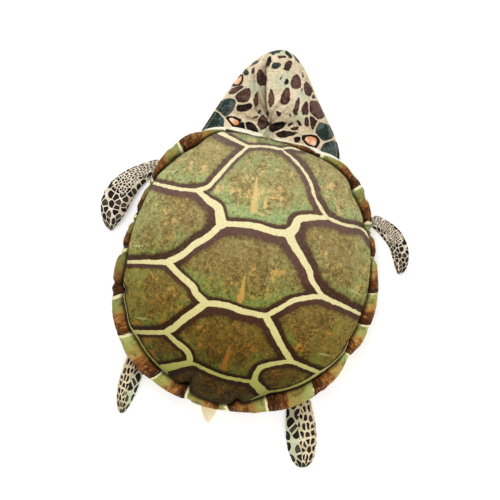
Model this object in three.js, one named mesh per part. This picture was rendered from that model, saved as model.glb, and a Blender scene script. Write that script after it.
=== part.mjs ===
// Stuffed sea turtle shell costume, lying belly down: a domed cushion with a padded rim sewn round it,
// a belly panel, a limp hood at the front, four flat flippers and a small tail.
// Millimetres, +Z up, +Y towards the hood. The origin is the middle of the flat belly, on the floor.
import * as THREE from "three";

// Shell outline seen from above: its radius at an angle from the head is a sum of cosines.
const MEAN_RADIUS = 328;
const TAIL_HEAVY = -5; // cos 1: a little fuller at the tail
const OVAL = 15; // cos 2: longer than wide
const FRONT_LOBE = 2; // cos 3
const FULL_CORNERS = -11; // cos 4: shoulders and haunches stand out
const SHOULDERS = -5; // cos 5
const FLANK_WAIST = -5; // cos 6: drawn in just behind the front flippers
const OUTLINE = [MEAN_RADIUS, TAIL_HEAVY, OVAL, FRONT_LOBE, FULL_CORNERS, SHOULDERS, FLANK_WAIST];
const LEFT_FULLER = 4.5; // sin 1 and sin 3: as it lies, the corners on its left stand out more

// Padded rim: a fat roll, puffed between the marginal scutes.
const RIM_WIDTH = 48;
const RIM_HEIGHT = 84;
const RIM_LIFT = 4; // the roll's underside clears the floor
const RIM_SQUARENESS = 0.85; // 1 is an ellipse, less is boxier
const MARGINAL_SCUTES = 22;
const PUFF_DEPTH = 5;
const PUFF_SHARPNESS = 8; // even; higher draws a narrower crease between two puffs

// Carapace cushion and belly panel. The printed top panel laps over the roll's inner shoulder.
const SEWN_GAP = 1.2; // clear of the neighbouring solid
const DOME_TOP = 205;
const DOME_SPREAD = 2.3; // how far out the flat of the dome reaches
const DOME_SHOULDER = 0.72; // less than 1 makes the edge bulge
const LAP_TURNS = [180, 150, 120, 105]; // degrees round the roll's section that the cushion lies against
const BELLY_THICKNESS = 8;
const BELLY_EDGE_ROUND = 3;

// Hood: a limp cloth cap lying face down, so that it is hollow underneath.
const HOOD_CLOTH = 6;
const FLOOR_GAP = 0.5;
const HOOD_NECK_FROM = -0.56; // radians from the head, along the rim
const HOOD_NECK_TO = 0.5;
const HOOD_NECK_HEIGHT = 48;
const HOOD_CROWN_HEIGHT = 84;
const HOOD_CROWN_AT = 0.36; // share of the way from neck to tip
const HOOD_TIP_HEIGHT = 10;
const HOOD_TIP_CUT = 0.985; // the two sides meet a little past the last row
const HOOD_ARCH_SPREAD = 2.2; // across the hood: flat on top, steep at the sides
const HOOD_ARCH_SHOULDER = 0.8;
const HOOD_FOLD_DEPTH = 34; // the deep fold just left of the crown
const HOOD_FOLD_WIDTH = 0.1;
const HOOD_FOLD_AT_NECK = -0.16;
const HOOD_FOLD_SLANT = -0.14;
const HOOD_FOLD_OPENS = [0.1, 0.3]; // along the hood, from none to full depth
const HOOD_FOLD_CLOSES = [0.7, 0.95];
const HOOD_TUCK_DEPTH = 14; // the cross crease where the crown meets the neck
const HOOD_TUCK_AT = 0.17;
const HOOD_TUCK_WIDTH = 0.07;
const HOOD_LEFT_SIDE = [[-157, 358], [-116, 452], [-76, 512]];
const HOOD_RIGHT_SIDE = [[136, 359], [84, 440], [16, 508]];
const HOOD_TIP = [-28, 530];

// Flippers and tail: stuffed paddles that lie on the floor with their roots tucked under the rim.
const FLIPPERS = {
  front_flipper_left: {
    root: [-249, 194],
    bend: [-336, 148],
    tip: [-340, 22],
    rootWidth: 26,
    width: 72,
    thickness: 26,
    roll: 0,
  },
  front_flipper_right: {
    root: [262, 172],
    bend: [344, 146],
    tip: [356, 66],
    rootWidth: 30,
    width: 52,
    thickness: 20,
    roll: -0.7,
  },
  rear_flipper_left: {
    root: [-216, -252],
    bend: [-226, -330],
    tip: [-220, -398],
    rootWidth: 40,
    width: 47,
    thickness: 22,
    roll: 0,
  },
  rear_flipper_right: {
    root: [182, -276],
    bend: [206, -352],
    tip: [226, -434],
    rootWidth: 58,
    width: 72,
    thickness: 24,
    roll: 0,
  },
};
const TAIL = {
  root: [-22, -318],
  bend: [-21, -346],
  tip: [-16, -374],
  rootWidth: 38,
  width: 38,
  thickness: 12,
  roll: 0,
};
const ROOT_THICKNESS = 3;
const WIDEST_AT = 0.5; // share of the way from root to tip
const TIP_FULLNESS = 2.4; // higher keeps the width longer before the tip
const TIP_THICKNESS = 0.35; // share of the thickness left at the tip
const TIP_CUT = 0.99;

// Facets.
const RIM_COLUMNS = 132;
const RIM_SIDES = 12;
const DOME_COLUMNS = 88;
const DOME_ROWS = 8;
const HOOD_COLUMNS = 24;
const HOOD_ROWS = 14;
const PADDLE_SIDES = 14;
const PADDLE_STATIONS = 12;

const smooth = (t, from = 0, to = 1) => THREE.MathUtils.smoothstep(t, from, to);
const mix = THREE.MathUtils.lerp;
const bell = (x, width) => Math.exp(-((x / width) ** 2));
const signedPower = (x, p) => Math.sign(x) * Math.abs(x) ** p;

function outlineRadius(angle) {
  const even = OUTLINE.reduce((sum, size, n) => sum + size * Math.cos(n * angle), 0);
  return even - LEFT_FULLER * (Math.sin(angle) + Math.sin(3 * angle));
}

// A point of the shell's plan, at an angle clockwise from the head.
function planPoint(angle, radius, z) {
  return new THREE.Vector3(radius * Math.sin(angle), radius * Math.cos(angle), z);
}

// A ring inside the shell's outline, drawn towards the middle by a share of its size.
function outlineRing(columns, inset, z, share = 1) {
  return Array.from({ length: columns }, (_, i) => {
    const angle = (-2 * Math.PI * i) / columns;
    return planPoint(angle, share * (outlineRadius(angle) - inset), z);
  });
}

// Skins a row of closed rings. Each end is a flat strip between facing points, a fan to a pole,
// or the first ring is joined to the last.
function loft(rings, ends) {
  const sides = rings[0].length;
  const points = rings.flat();
  const faces = [];
  const at = (row, side) => row * sides + (side % sides);
  const rows = ends === "joined" ? rings.length : rings.length - 1;
  for (let row = 0; row < rows; row++) {
    const next = (row + 1) % rings.length;
    for (let side = 0; side < sides; side++) {
      const [a, b] = [at(row, side), at(row, side + 1)];
      const [c, d] = [at(next, side + 1), at(next, side)];
      faces.push(a, b, c, a, c, d);
    }
  }
  const last = rings.length - 1;
  if (ends === "strips") {
    for (let i = 0; i < sides / 2 - 1; i++) {
      const [near, far] = [i + 1, sides - 1 - i];
      faces.push(at(0, i), at(0, far), at(0, near), at(0, near), at(0, far), at(0, far - 1));
      faces.push(at(last, i), at(last, near), at(last, far));
      faces.push(at(last, near), at(last, far - 1), at(last, far));
    }
  }
  if (ends === "poles") {
    const [start, end] = [rings[0], rings[last]].map((ring) =>
      ring.reduce((sum, p) => sum.add(p), new THREE.Vector3()).divideScalar(sides),
    );
    points.push(start, end);
    for (let side = 0; side < sides; side++) {
      faces.push(points.length - 2, at(0, side + 1), at(0, side));
      faces.push(points.length - 1, at(last, side), at(last, side + 1));
    }
  }
  const geometry = new THREE.BufferGeometry().setFromPoints(points).setIndex(faces);
  geometry.computeVertexNormals();
  return geometry;
}

// The roll's section, a boxy ellipse: a turn of 0 faces outwards and a quarter turn faces up.
// Pull draws it in at a crease, and grow is the clearance of what lies against it.
function rimSection(turn, pull, grow) {
  const outward = signedPower(Math.cos(turn), RIM_SQUARENESS);
  const upward = signedPower(Math.sin(turn), RIM_SQUARENESS);
  const inset = RIM_WIDTH / 2 - (RIM_WIDTH / 2 + grow) * outward + pull * Math.max(0, outward);
  const z = RIM_LIFT + RIM_HEIGHT / 2 + (RIM_HEIGHT / 2 + grow - pull / 2) * upward;
  return { inset, z };
}

// The rim roll, drawn in at each marginal scute's edge.
function rimGeometry() {
  const rings = Array.from({ length: RIM_COLUMNS }, (_, i) => {
    const angle = (2 * Math.PI * i) / RIM_COLUMNS;
    const pull = PUFF_DEPTH * Math.cos((MARGINAL_SCUTES * angle) / 2) ** PUFF_SHARPNESS;
    return Array.from({ length: RIM_SIDES }, (_, j) => {
      const { inset, z } = rimSection((2 * Math.PI * j) / RIM_SIDES, pull, 0);
      return planPoint(angle, outlineRadius(angle) - inset, z);
    });
  });
  return loft(rings, "joined");
}

// The stuffed dome: a wall behind the rim, a lap over the roll's shoulder, then the printed top panel.
function carapaceGeometry() {
  const lap = LAP_TURNS.map((degrees) => rimSection(THREE.MathUtils.degToRad(degrees), 0, SEWN_GAP));
  const foot = { inset: lap[0].inset, z: BELLY_THICKNESS + SEWN_GAP };
  const seam = lap.at(-1);
  const rings = [foot, ...lap].map(({ inset, z }) => outlineRing(DOME_COLUMNS, inset, z));
  for (let row = 1; row < DOME_ROWS; row++) {
    const share = Math.cos((Math.PI / 2) * (row / DOME_ROWS));
    const rise = (1 - share ** DOME_SPREAD) ** DOME_SHOULDER;
    rings.push(outlineRing(DOME_COLUMNS, seam.inset, mix(seam.z, DOME_TOP, rise), share));
  }
  return loft(rings, "poles");
}

// The belly panel: the flat cloth that the costume rests on.
function bellyGeometry() {
  const inset = RIM_WIDTH + SEWN_GAP;
  return loft(
    [
      outlineRing(DOME_COLUMNS, inset + BELLY_EDGE_ROUND, 0),
      outlineRing(DOME_COLUMNS, inset, BELLY_EDGE_ROUND),
      outlineRing(DOME_COLUMNS, inset, BELLY_THICKNESS),
    ],
    "poles",
  );
}

// Height of the hood's inside above its hem, across (-1 left to 1 right) and along (0 neck to 1 tip).
function hoodHeight(across, along) {
  const risen = mix(HOOD_NECK_HEIGHT, HOOD_CROWN_HEIGHT, smooth(along, 0, HOOD_CROWN_AT));
  const crown = mix(risen, HOOD_TIP_HEIGHT, smooth(along, HOOD_CROWN_AT, 1));
  const arch = (1 - Math.abs(across) ** HOOD_ARCH_SPREAD) ** HOOD_ARCH_SHOULDER;
  const foldAt = HOOD_FOLD_AT_NECK + HOOD_FOLD_SLANT * along;
  const foldLength = smooth(along, ...HOOD_FOLD_OPENS) * (1 - smooth(along, ...HOOD_FOLD_CLOSES));
  const fold = HOOD_FOLD_DEPTH * bell(across - foldAt, HOOD_FOLD_WIDTH) * foldLength;
  const tuck = HOOD_TUCK_DEPTH * bell(along - HOOD_TUCK_AT, HOOD_TUCK_WIDTH) * arch;
  return Math.max(0, crown * arch - fold - tuck);
}

function sideCurve(corner, points) {
  const plan = [...points, HOOD_TIP].map(([x, y]) => new THREE.Vector3(x, y, 0));
  return new THREE.CatmullRomCurve3([corner, ...plan]);
}

// The hood: a cloth tent from the rim's front to the tip, hemmed on the floor and open below.
function hoodGeometry() {
  const neck = (across) => {
    const angle = mix(HOOD_NECK_FROM, HOOD_NECK_TO, (across + 1) / 2);
    return planPoint(angle, outlineRadius(angle) + SEWN_GAP, 0);
  };
  const left = sideCurve(neck(-1), HOOD_LEFT_SIDE);
  const right = sideCurve(neck(1), HOOD_RIGHT_SIDE);
  const place = (across, along, z) => {
    const share = (across + 1) / 2;
    const row = left.getPointAt(along).lerp(right.getPointAt(along), share);
    const straightNeck = neck(-1).lerp(neck(1), share);
    return row.add(neck(across).sub(straightNeck).multiplyScalar((1 - along) ** 2)).setZ(z);
  };
  const rings = Array.from({ length: HOOD_ROWS + 1 }, (_, row) => {
    const along = (HOOD_TIP_CUT * row) / HOOD_ROWS;
    const outside = [];
    const inside = [];
    for (let column = 0; column <= HOOD_COLUMNS; column++) {
      const across = mix(-1, 1, column / HOOD_COLUMNS);
      const height = FLOOR_GAP + hoodHeight(across, along);
      outside.push(place(across, along, height + HOOD_CLOTH));
      inside.unshift(place(across, along, height));
    }
    return [...outside, ...inside];
  });
  return loft(rings, "strips");
}

// A stuffed paddle along a bent line, widest half way and drawn to a tip, turned about its line by roll.
function paddleGeometry({ root, bend, tip, rootWidth, width, thickness, roll }) {
  const [start, middle, end] = [root, bend, tip].map(([x, y]) => new THREE.Vector3(x, y, 0));
  const line = new THREE.QuadraticBezierCurve3(start, middle, end);
  const rings = Array.from({ length: PADDLE_STATIONS + 1 }, (_, station) => {
    const along = (TIP_CUT * station) / PADDLE_STATIONS;
    const grown = smooth(along, 0, WIDEST_AT);
    const taper = Math.max(0, (along - WIDEST_AT) / (1 - WIDEST_AT));
    const blunt = Math.sqrt(1 - taper ** TIP_FULLNESS);
    const half = (mix(rootWidth, width, grown) / 2) * blunt;
    const deep = (mix(ROOT_THICKNESS, thickness, grown) / 2) * mix(TIP_THICKNESS, 1, blunt);
    const tilt = roll * grown;
    const rise = Math.hypot(half * Math.sin(tilt), deep * Math.cos(tilt));
    const centre = line.getPoint(along).setZ(FLOOR_GAP + rise);
    const heading = line.getTangent(along);
    const sideways = new THREE.Vector3(heading.y, -heading.x, 0);
    return Array.from({ length: PADDLE_SIDES }, (_, i) => {
      const turn = Math.PI - (2 * Math.PI * i) / PADDLE_SIDES;
      const [a, b] = [half * Math.cos(turn), deep * Math.sin(turn)];
      const across = a * Math.cos(tilt) - b * Math.sin(tilt);
      const up = a * Math.sin(tilt) + b * Math.cos(tilt);
      return centre.clone().addScaledVector(sideways, across).add(new THREE.Vector3(0, 0, up));
    });
  });
  return loft(rings, "strips");
}

const cloth = (colour) =>
  new THREE.MeshStandardMaterial({ color: colour, roughness: 0.85, metalness: 0 });
const FINISHES = {
  scutePrint: cloth(0x6f6a3a),
  rimPrint: cloth(0x6b4a26),
  bellyCloth: cloth(0xe9dfb8),
  hoodPrint: cloth(0xb9a283),
  flipperPrint: cloth(0x5d5348),
};

const shell = new THREE.Group();
function addPiece(name, geometry, finish) {
  const mesh = new THREE.Mesh(geometry, finish);
  mesh.name = name;
  shell.add(mesh);
}

addPiece("carapace_cushion", carapaceGeometry(), FINISHES.scutePrint);
addPiece("rim_roll", rimGeometry(), FINISHES.rimPrint);
addPiece("belly_panel", bellyGeometry(), FINISHES.bellyCloth);
addPiece("hood", hoodGeometry(), FINISHES.hoodPrint);
for (const [name, shape] of Object.entries(FLIPPERS)) {
  addPiece(name, paddleGeometry(shape), FINISHES.flipperPrint);
}
addPiece("tail", paddleGeometry(TAIL), FINISHES.bellyCloth);

export default shell;
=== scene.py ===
import math

import bmesh
import bpy
import numpy as np
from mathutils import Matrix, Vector


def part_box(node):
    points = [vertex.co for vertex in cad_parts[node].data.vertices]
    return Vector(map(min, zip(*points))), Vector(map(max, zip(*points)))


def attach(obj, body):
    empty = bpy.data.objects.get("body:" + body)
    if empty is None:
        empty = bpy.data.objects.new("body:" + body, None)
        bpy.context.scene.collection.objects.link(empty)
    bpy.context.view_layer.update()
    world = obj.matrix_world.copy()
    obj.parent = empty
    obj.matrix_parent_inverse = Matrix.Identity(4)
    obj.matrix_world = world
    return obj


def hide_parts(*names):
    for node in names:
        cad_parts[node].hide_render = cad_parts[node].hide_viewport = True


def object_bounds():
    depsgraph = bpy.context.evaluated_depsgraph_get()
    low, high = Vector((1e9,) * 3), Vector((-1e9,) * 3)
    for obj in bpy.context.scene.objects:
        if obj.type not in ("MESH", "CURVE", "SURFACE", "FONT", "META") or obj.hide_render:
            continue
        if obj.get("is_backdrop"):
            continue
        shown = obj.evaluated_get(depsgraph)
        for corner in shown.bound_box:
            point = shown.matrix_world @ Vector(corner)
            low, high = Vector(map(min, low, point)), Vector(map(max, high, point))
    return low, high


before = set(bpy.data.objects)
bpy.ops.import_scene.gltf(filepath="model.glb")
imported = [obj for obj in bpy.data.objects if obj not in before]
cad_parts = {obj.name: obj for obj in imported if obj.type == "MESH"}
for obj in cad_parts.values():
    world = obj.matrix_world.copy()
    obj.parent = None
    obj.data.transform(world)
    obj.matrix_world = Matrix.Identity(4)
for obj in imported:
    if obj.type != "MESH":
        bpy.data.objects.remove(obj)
cad_low, cad_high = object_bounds()


# Sewn cover: the top panel, the rim band and the belly are cut from short plush and sewn edge to edge.
# The band is gathered into the top seam, and loose fibre swells the cover, so that it puckers by its seams.
OUTLINE_COSINES = (0.328, -0.005, 0.015, 0.002, -0.011, -0.005, -0.005)
LEFT_FULLER = 0.0045
COLUMNS = 600
PANEL_ROWS = 110
BAND_ROWS = 30
RIM_WIDTH = 0.048
RIM_SQUARENESS = 0.85
DOME_SPREAD = 2.3
DOME_SHOULDER = 0.72
SEAM_CREASE = 0.006
BELLY_SEAM_INSET = 0.046
BELLY_SEAM_HEIGHT = 0.0035
# How much of the rim shows outside the top panel, by degrees round the shell.
RIM_SHOWING = (
    (0, 0.010), (6, 0.009), (12, 0.016), (18, 0.020), (30, 0.024), (36, 0.024), (42, 0.034), (51, 0.026),
    (58, 0.020), (64, 0.012), (72, 0.012), (80, 0.017), (88, 0.022), (98, 0.029), (106, 0.031), (112, 0.034),
    (118, 0.028), (127, 0.034), (135, 0.040), (148, 0.044), (158, 0.046), (165, 0.036), (172, 0.022),
    (178, 0.018), (189, 0.024), (203, 0.045), (214, 0.046), (226, 0.042), (233, 0.033), (240, 0.033),
    (249, 0.027), (262, 0.031), (269, 0.024), (277, 0.018), (284, 0.015), (296, 0.016), (304, 0.019),
    (309, 0.027), (313, 0.033), (320, 0.038), (326, 0.040), (332, 0.026), (337, 0.016), (346, 0.014),
    (354, 0.011),
)
# How far the rim is drawn in from its cut outline, by degrees; less than nothing where it bulges.
RIM_DRAWN_IN = (
    (0, 0), (60, 0), (75, -0.003), (88, -0.006), (100, -0.003), (111, 0.001), (116, 0.008), (121, 0.009),
    (128, 0.002), (180, 0), (192, 0.004), (205, 0.009), (215, 0.006), (225, 0), (238, -0.003), (255, 0),
    (262, 0.003), (270, 0.006),
    (280, 0.005), (290, 0.003), (300, 0.006), (310, 0.002), (322, 0.003), (330, 0.006), (340, 0),
)
# Edges of the printed marginal scutes, where the rim is drawn in between two puffs.
MARGINAL_EDGES = (
    21, 41, 56, 72, 89, 104, 118, 138, 160, 178, 195, 208, 229, 247, 268, 284, 301, 319, 339, 357,
)
PUFF_DEPTH = 0.0015
PUFF_CREASE = 2.2
# Tucks where the swollen panel folds in on itself: degrees, depth, half width in degrees and length.
TUCKS = (
    (196, 0.013, 2.4, 0.028), (172.8, 0.011, 2.0, 0.034), (249, 0.006, 1.8, 0.05), (57, 0.006, 2.0, 0.03),
)
# Folds along the panel's edge: from and to in degrees, distance in from the seam at either end, depth.
EDGE_FOLDS = ((57, 73, 0.004, 0.022, 0.005), (247, 262, 0.030, 0.006, 0.004), (38, 47, 0.005, 0.008, 0.005))


def shell_radius(angle):
    """Radius of the shell's outline in plan."""
    even = sum(size * np.cos(n * angle) for n, size in enumerate(OUTLINE_COSINES))
    return even - LEFT_FULLER * (np.sin(angle) + np.sin(3 * angle))


def smoothstep(low, high, value):
    t = np.clip((value - low) / (high - low), 0, 1)
    return t * t * (3 - 2 * t)


def signed_power(value, power):
    return np.sign(value) * np.abs(value) ** power


def degrees_apart(degrees, other):
    return (degrees - other + 180) % 360 - 180


def on_plan(radius, z):
    """Points of the shell at each column's angle, from their radius and height."""
    return np.stack([radius * np.sin(column_angle), radius * np.cos(column_angle), z + 0 * radius], -1)


column_angle = 2 * math.pi * np.arange(COLUMNS) / COLUMNS
column_degrees = np.degrees(column_angle)
cut_outline = shell_radius(column_angle)
dome_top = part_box("carapace_cushion")[1].z
rim_low, rim_high = (corner.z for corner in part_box("rim_roll"))
rim_middle = (rim_low + rim_high) / 2
rim_half = (rim_high - rim_low) / 2


def round_the_shell(table):
    """A smooth value for each column from a table of values by degrees."""
    values = np.interp(column_degrees, *zip(*table), period=360)
    window = np.hanning(13) / np.hanning(13).sum()
    return np.convolve(np.concatenate([values[-6:], values, values[:6]]), window, "valid")


drawn_in = round_the_shell(RIM_DRAWN_IN)
outline = cut_outline - drawn_in
showing = np.maximum(round_the_shell(RIM_SHOWING) - drawn_in, 0.004)
for tuck_degrees, tuck_depth, tuck_width, _ in TUCKS:
    from_tuck = degrees_apart(column_degrees, tuck_degrees) / tuck_width
    showing = showing + tuck_depth * np.exp(-(from_tuck**2))
nearest_edge = np.min([np.abs(degrees_apart(column_degrees, edge)) for edge in MARGINAL_EDGES], 0)
pull = PUFF_DEPTH * np.exp(-((nearest_edge / PUFF_CREASE) ** 2))

seam_turn = np.arccos(np.clip(signed_power(1 - showing / (RIM_WIDTH / 2), 1 / RIM_SQUARENESS), -1, 1))
seam_height = rim_middle + rim_half * signed_power(np.sin(seam_turn), RIM_SQUARENESS) - SEAM_CREASE
seam_radius = outline - showing

row_share = np.arange(1, PANEL_ROWS + 1) / PANEL_ROWS
panel_share = 0.55 * np.sin(math.pi / 2 * row_share) + 0.45 * row_share
panel_rings = []
for share in panel_share:
    radius = share * seam_radius
    rise = (1 - share**DOME_SPREAD) ** DOME_SHOULDER
    ring = on_plan(radius, seam_height + (dome_top - seam_height) * rise)
    x, y = ring[:, 0], ring[:, 1]
    lumps = np.sin(19 * x + 1.3) * np.cos(15 * y + 0.4) + 0.6 * np.sin(31 * x - 23 * y + 2.1)
    ring[:, 2] += 0.0022 * lumps * (1 - share**6)
    for tuck_degrees, tuck_depth, tuck_width, tuck_length in TUCKS:
        across = degrees_apart(column_degrees, tuck_degrees) / (1.3 * tuck_width)
        inward = (1 - share) * seam_radius / tuck_length
        ring[:, 2] -= 0.9 * tuck_depth * np.exp(-(across**2) - inward**2)
    panel_rings.append(ring)

band_rings = []
for step in np.arange(1, BAND_ROWS + 1) / BAND_ROWS:
    turn = seam_turn + (math.radians(-98) - seam_turn) * min(1, step / 0.82)
    outward = signed_power(np.cos(turn), RIM_SQUARENESS)
    inset = RIM_WIDTH / 2 * (1 - outward) + pull * np.maximum(0, outward)
    height = rim_middle + (rim_half - pull / 2) * signed_power(np.sin(turn), RIM_SQUARENESS)
    height = height - SEAM_CREASE * np.exp(-((step / 0.09) ** 2))
    under = smoothstep(0.82, 1, step)
    inset = inset + (BELLY_SEAM_INSET - inset) * under
    height = height + (BELLY_SEAM_HEIGHT - height) * under
    band_rings.append(on_plan(outline - inset, height))


def sew_rings(name, rings, first_pole=None, last_pole=None, joined=False):
    """A smooth mesh skinned over rings of points, closed by a pole at either end or by joining its ends."""
    rows, columns = len(rings), len(rings[0])
    points = [tuple(p) for p in np.concatenate(rings)]
    spans = [(row, (row + 1) % rows) for row in range(rows if joined else rows - 1)]
    faces = []
    for row, lower in spans:
        for side in range(columns):
            other = (side + 1) % columns
            faces.append((row * columns + side, row * columns + other,
                          lower * columns + other, lower * columns + side))
    for pole, row, turn in ((first_pole, 0, -1), (last_pole, rows - 1, 1)):
        if pole is not None:
            points.append(tuple(pole))
            for side in range(columns):
                pair = (row * columns + side, row * columns + (side + 1) % columns)[::turn]
                faces.append((*pair, len(points) - 1))
    mesh = bpy.data.meshes.new(name)
    mesh.from_pydata(points, [], faces)
    mesh.polygons.foreach_set("use_smooth", [True] * len(faces))
    made = bpy.data.objects.new(name, mesh)
    bpy.context.scene.collection.objects.link(made)
    return made


def vertex_points(piece):
    points = np.empty(len(piece.data.vertices) * 3, np.float32)
    piece.data.vertices.foreach_get("co", points)
    return points.reshape(-1, 3).astype(float)


def swell(rings, hold, slack, frames=22, furthest=0.009):
    """How far Cloth moves a cover swollen by its filling, pinned by hold and cut longer by slack."""
    start = rings + 0.0004 * np.random.default_rng(4).standard_normal(rings.shape)
    cover = sew_rings("cover_cloth", start)
    for group, weights in (("hold", hold), ("slack", slack)):
        members = cover.vertex_groups.new(name=group)
        for index, weight in enumerate(np.asarray(weights).ravel()):
            members.add([index], float(weight), "REPLACE")
    cloth = cover.modifiers.new("Cloth", "CLOTH")
    cloth.settings.quality = 6
    cloth.settings.mass = 0.2
    cloth.settings.tension_stiffness = 12
    cloth.settings.compression_stiffness = 12
    cloth.settings.shear_stiffness = 4
    cloth.settings.bending_stiffness = 0.12
    cloth.settings.use_pressure = True
    cloth.settings.uniform_pressure_force = 2.5
    cloth.settings.effector_weights.gravity = 0
    cloth.settings.vertex_group_mass = "hold"
    cloth.settings.vertex_group_shrink = "slack"
    cloth.settings.shrink_min = 0
    cloth.settings.shrink_max = -0.08
    cloth.collision_settings.use_collision = False
    cloth.point_cache.frame_end = frames
    for moment in range(1, frames + 1):
        bpy.context.scene.frame_set(moment)
    settled = cover.evaluated_get(bpy.context.evaluated_depsgraph_get())
    moved = vertex_points(settled).reshape(rings.shape) - rings
    bpy.data.objects.remove(cover)
    bpy.context.scene.frame_set(1)
    length = np.linalg.norm(moved, axis=-1, keepdims=True)
    return moved * (furthest * np.tanh(length / furthest) / np.maximum(length, 1e-9))


def fill_between(coarse):
    """Puts a row between each two rows, and a column between each two columns, of moves round the shell."""
    rows = np.repeat(coarse, 2, axis=0)[:-1]
    rows[1::2] = (coarse[:-1] + coarse[1:]) / 2
    fine = np.repeat(rows, 2, axis=1)
    fine[:, 1::2] = (rows + np.roll(rows, -1, axis=1)) / 2
    return fine


SOFT_FROM = 55
cover_rings = np.array(panel_rings[SOFT_FROM:] + band_rings)
seam_row = PANEL_ROWS - SOFT_FROM - 1
row_number = np.arange(len(cover_rings))[:, None] + 0 * column_degrees
hold = 1 - smoothstep(0, seam_row * 0.75, row_number)
hold = np.where(np.abs(row_number - seam_row) < 0.5, 1, hold)
hold = np.where(row_number > seam_row + 24, 1, hold)
slack = np.exp(-(((row_number - seam_row) / 10) ** 2))
swollen = cover_rings + fill_between(swell(cover_rings[::2, ::2], hold[::2, ::2], slack[::2, ::2]))
panel_rings[SOFT_FROM:] = list(swollen[: seam_row + 1])
band_rings = list(swollen[seam_row + 1 :])

# Gathers that the seam draws into the cloth: place in degrees, depth, half width, reach and slant.
DEEP_GATHERS = (
    (43, 0.011, 1.5, 0.8, 7), (50, 0.009, 1.2, 0.7, -9), (57, 0.012, 2.0, 0.9, 8),
    (64, 0.012, 1.6, 0.9, -7), (71, 0.009, 1.4, 0.8, 6), (91, 0.005, 1.2, 0.6, 3),
    (105, 0.006, 1.4, 0.7, -4), (118, 0.006, 1.4, 0.7, 4), (138, 0.004, 1.2, 0.6, -3),
    (160, 0.005, 1.2, 0.6, 3), (195, 0.007, 1.6, 0.8, -5), (208, 0.006, 1.3, 0.7, 4),
    (229, 0.004, 1.3, 0.7, -3), (247, 0.006, 1.4, 0.8, 4), (256, 0.010, 1.4, 0.9, -8),
    (263, 0.011, 1.5, 0.9, 8), (271, 0.010, 1.3, 0.8, -8), (279, 0.011, 1.5, 0.9, 8),
    (288, 0.010, 1.4, 0.8, -7), (297, 0.009, 1.2, 0.7, 6), (319, 0.007, 1.6, 0.8, -6),
    (328, 0.006, 1.4, 0.7, 5), (357, 0.008, 2.2, 0.9, 0), (21, 0.005, 1.3, 0.6, -4),
)
# The least and the most of each of these in the small gathers between.
SMALL_GATHER_LIMITS = ((0.0008, 0.0034), (0.45, 0.95), (0.2, 0.7), (-7, 7))
gather_dice = np.random.default_rng(11)
small_places = np.cumsum(gather_dice.uniform(2.0, 5.6, 96))
small_places = small_places * 360 / small_places[-1]
small_gathers = [
    (place, *(gather_dice.uniform(*limits) for limits in SMALL_GATHER_LIMITS))
    for place in small_places
]
rim_core = on_plan(outline - RIM_WIDTH / 2, rim_middle)
for row, ring in enumerate(band_rings):
    step = (row + 1) / BAND_ROWS
    press = np.zeros(COLUMNS)
    for place, depth, half_width, reach, slant in (*DEEP_GATHERS, *small_gathers):
        across = degrees_apart(column_degrees, place + slant * step) / half_width
        fade = smoothstep(0, 0.06, step) * (1 - smoothstep(0.25 * reach, 0.75 * reach, step))
        press += depth * np.exp(-(across**2)) * fade
    inward = rim_core - ring
    ring += inward / np.linalg.norm(inward, axis=1)[:, None] * np.minimum(press, 0.014)[:, None]
for share, ring in zip(panel_share, panel_rings):
    from_seam = (1 - share) * seam_radius
    fade = smoothstep(0, 0.006, from_seam) * (1 - smoothstep(0.008, 0.05, from_seam))
    for place, depth, half_width, reach, slant in (*DEEP_GATHERS, *small_gathers):
        across = degrees_apart(column_degrees, place - 30 * slant * from_seam) / half_width
        ring[:, 2] -= 0.55 * depth * np.exp(-(across**2)) * fade
    for start, end, inset_start, inset_end, depth in EDGE_FOLDS:
        along = (column_degrees - start) / (end - start)
        away = from_seam - inset_start - (inset_end - inset_start) * along
        present = smoothstep(-0.1, 0.2, along) * (1 - smoothstep(0.8, 1.1, along))
        ring[:, 2] -= depth * np.exp(-((away / 0.0035) ** 2)) * present


# Carapace cushion: a stuffed dome under the top panel, printed with green and brown scutes and cream seams.
# The panel's edge is sewn into the rim's top seam, and a plain inner wall closes the cushion behind the rim.
def wall_behind_rim(clear):
    """Hidden rings from the top seam down behind the rim, a little clear of the other piece's wall."""
    return [
        on_plan(seam_radius - 0.004, seam_height - 0.006 + clear),
        on_plan(outline - np.maximum(showing + 0.008, 0.044) - clear, 0.068 + clear),
        on_plan(outline - 0.050 - clear, 0.058 + 0 * clear),
        on_plan(outline - 0.050 - clear, 0.012 + 0 * clear),
    ]


carapace = sew_rings(
    "carapace_cushion_plush",
    panel_rings + wall_behind_rim(0.001),
    first_pole=(0, 0, panel_rings[0][:, 2].max()),
    last_pole=(0, 0, 0.012),
)

CORNERS = {
    "front_left": (-0.058, 0.280),
    "front_right": (0.017, 0.291),
    "shoulder_right": (0.150, 0.156),
    "spine_1_right": (0.071, 0.102),
    "spine_1_left": (-0.080, 0.092),
    "shoulder_left": (-0.149, 0.155),
    "flank_left": (-0.181, -0.018),
    "flank_right": (0.177, -0.021),
    "spine_2_right": (0.060, -0.089),
    "spine_2_left": (-0.077, -0.089),
    "hip_left": (-0.152, -0.174),
    "hip_right": (0.139, -0.180),
    "rear_right": (0.066, -0.246),
    "rear_left": (-0.085, -0.232),
    "rim_front_left": (-0.121, 0.298),
    "rim_front_right": (0.051, 0.300),
    "rim_shoulder_right": (0.268, 0.128),
    "rim_flank_right": (0.278, -0.045),
    "rim_hip_right": (0.213, -0.197),
    "rim_rear_right": (0.098, -0.272),
    "rim_rear_left": (-0.133, -0.257),
    "rim_hip_left": (-0.227, -0.194),
    "rim_flank_left": (-0.277, -0.038),
    "rim_shoulder_left": (-0.255, 0.154),
}
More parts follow.
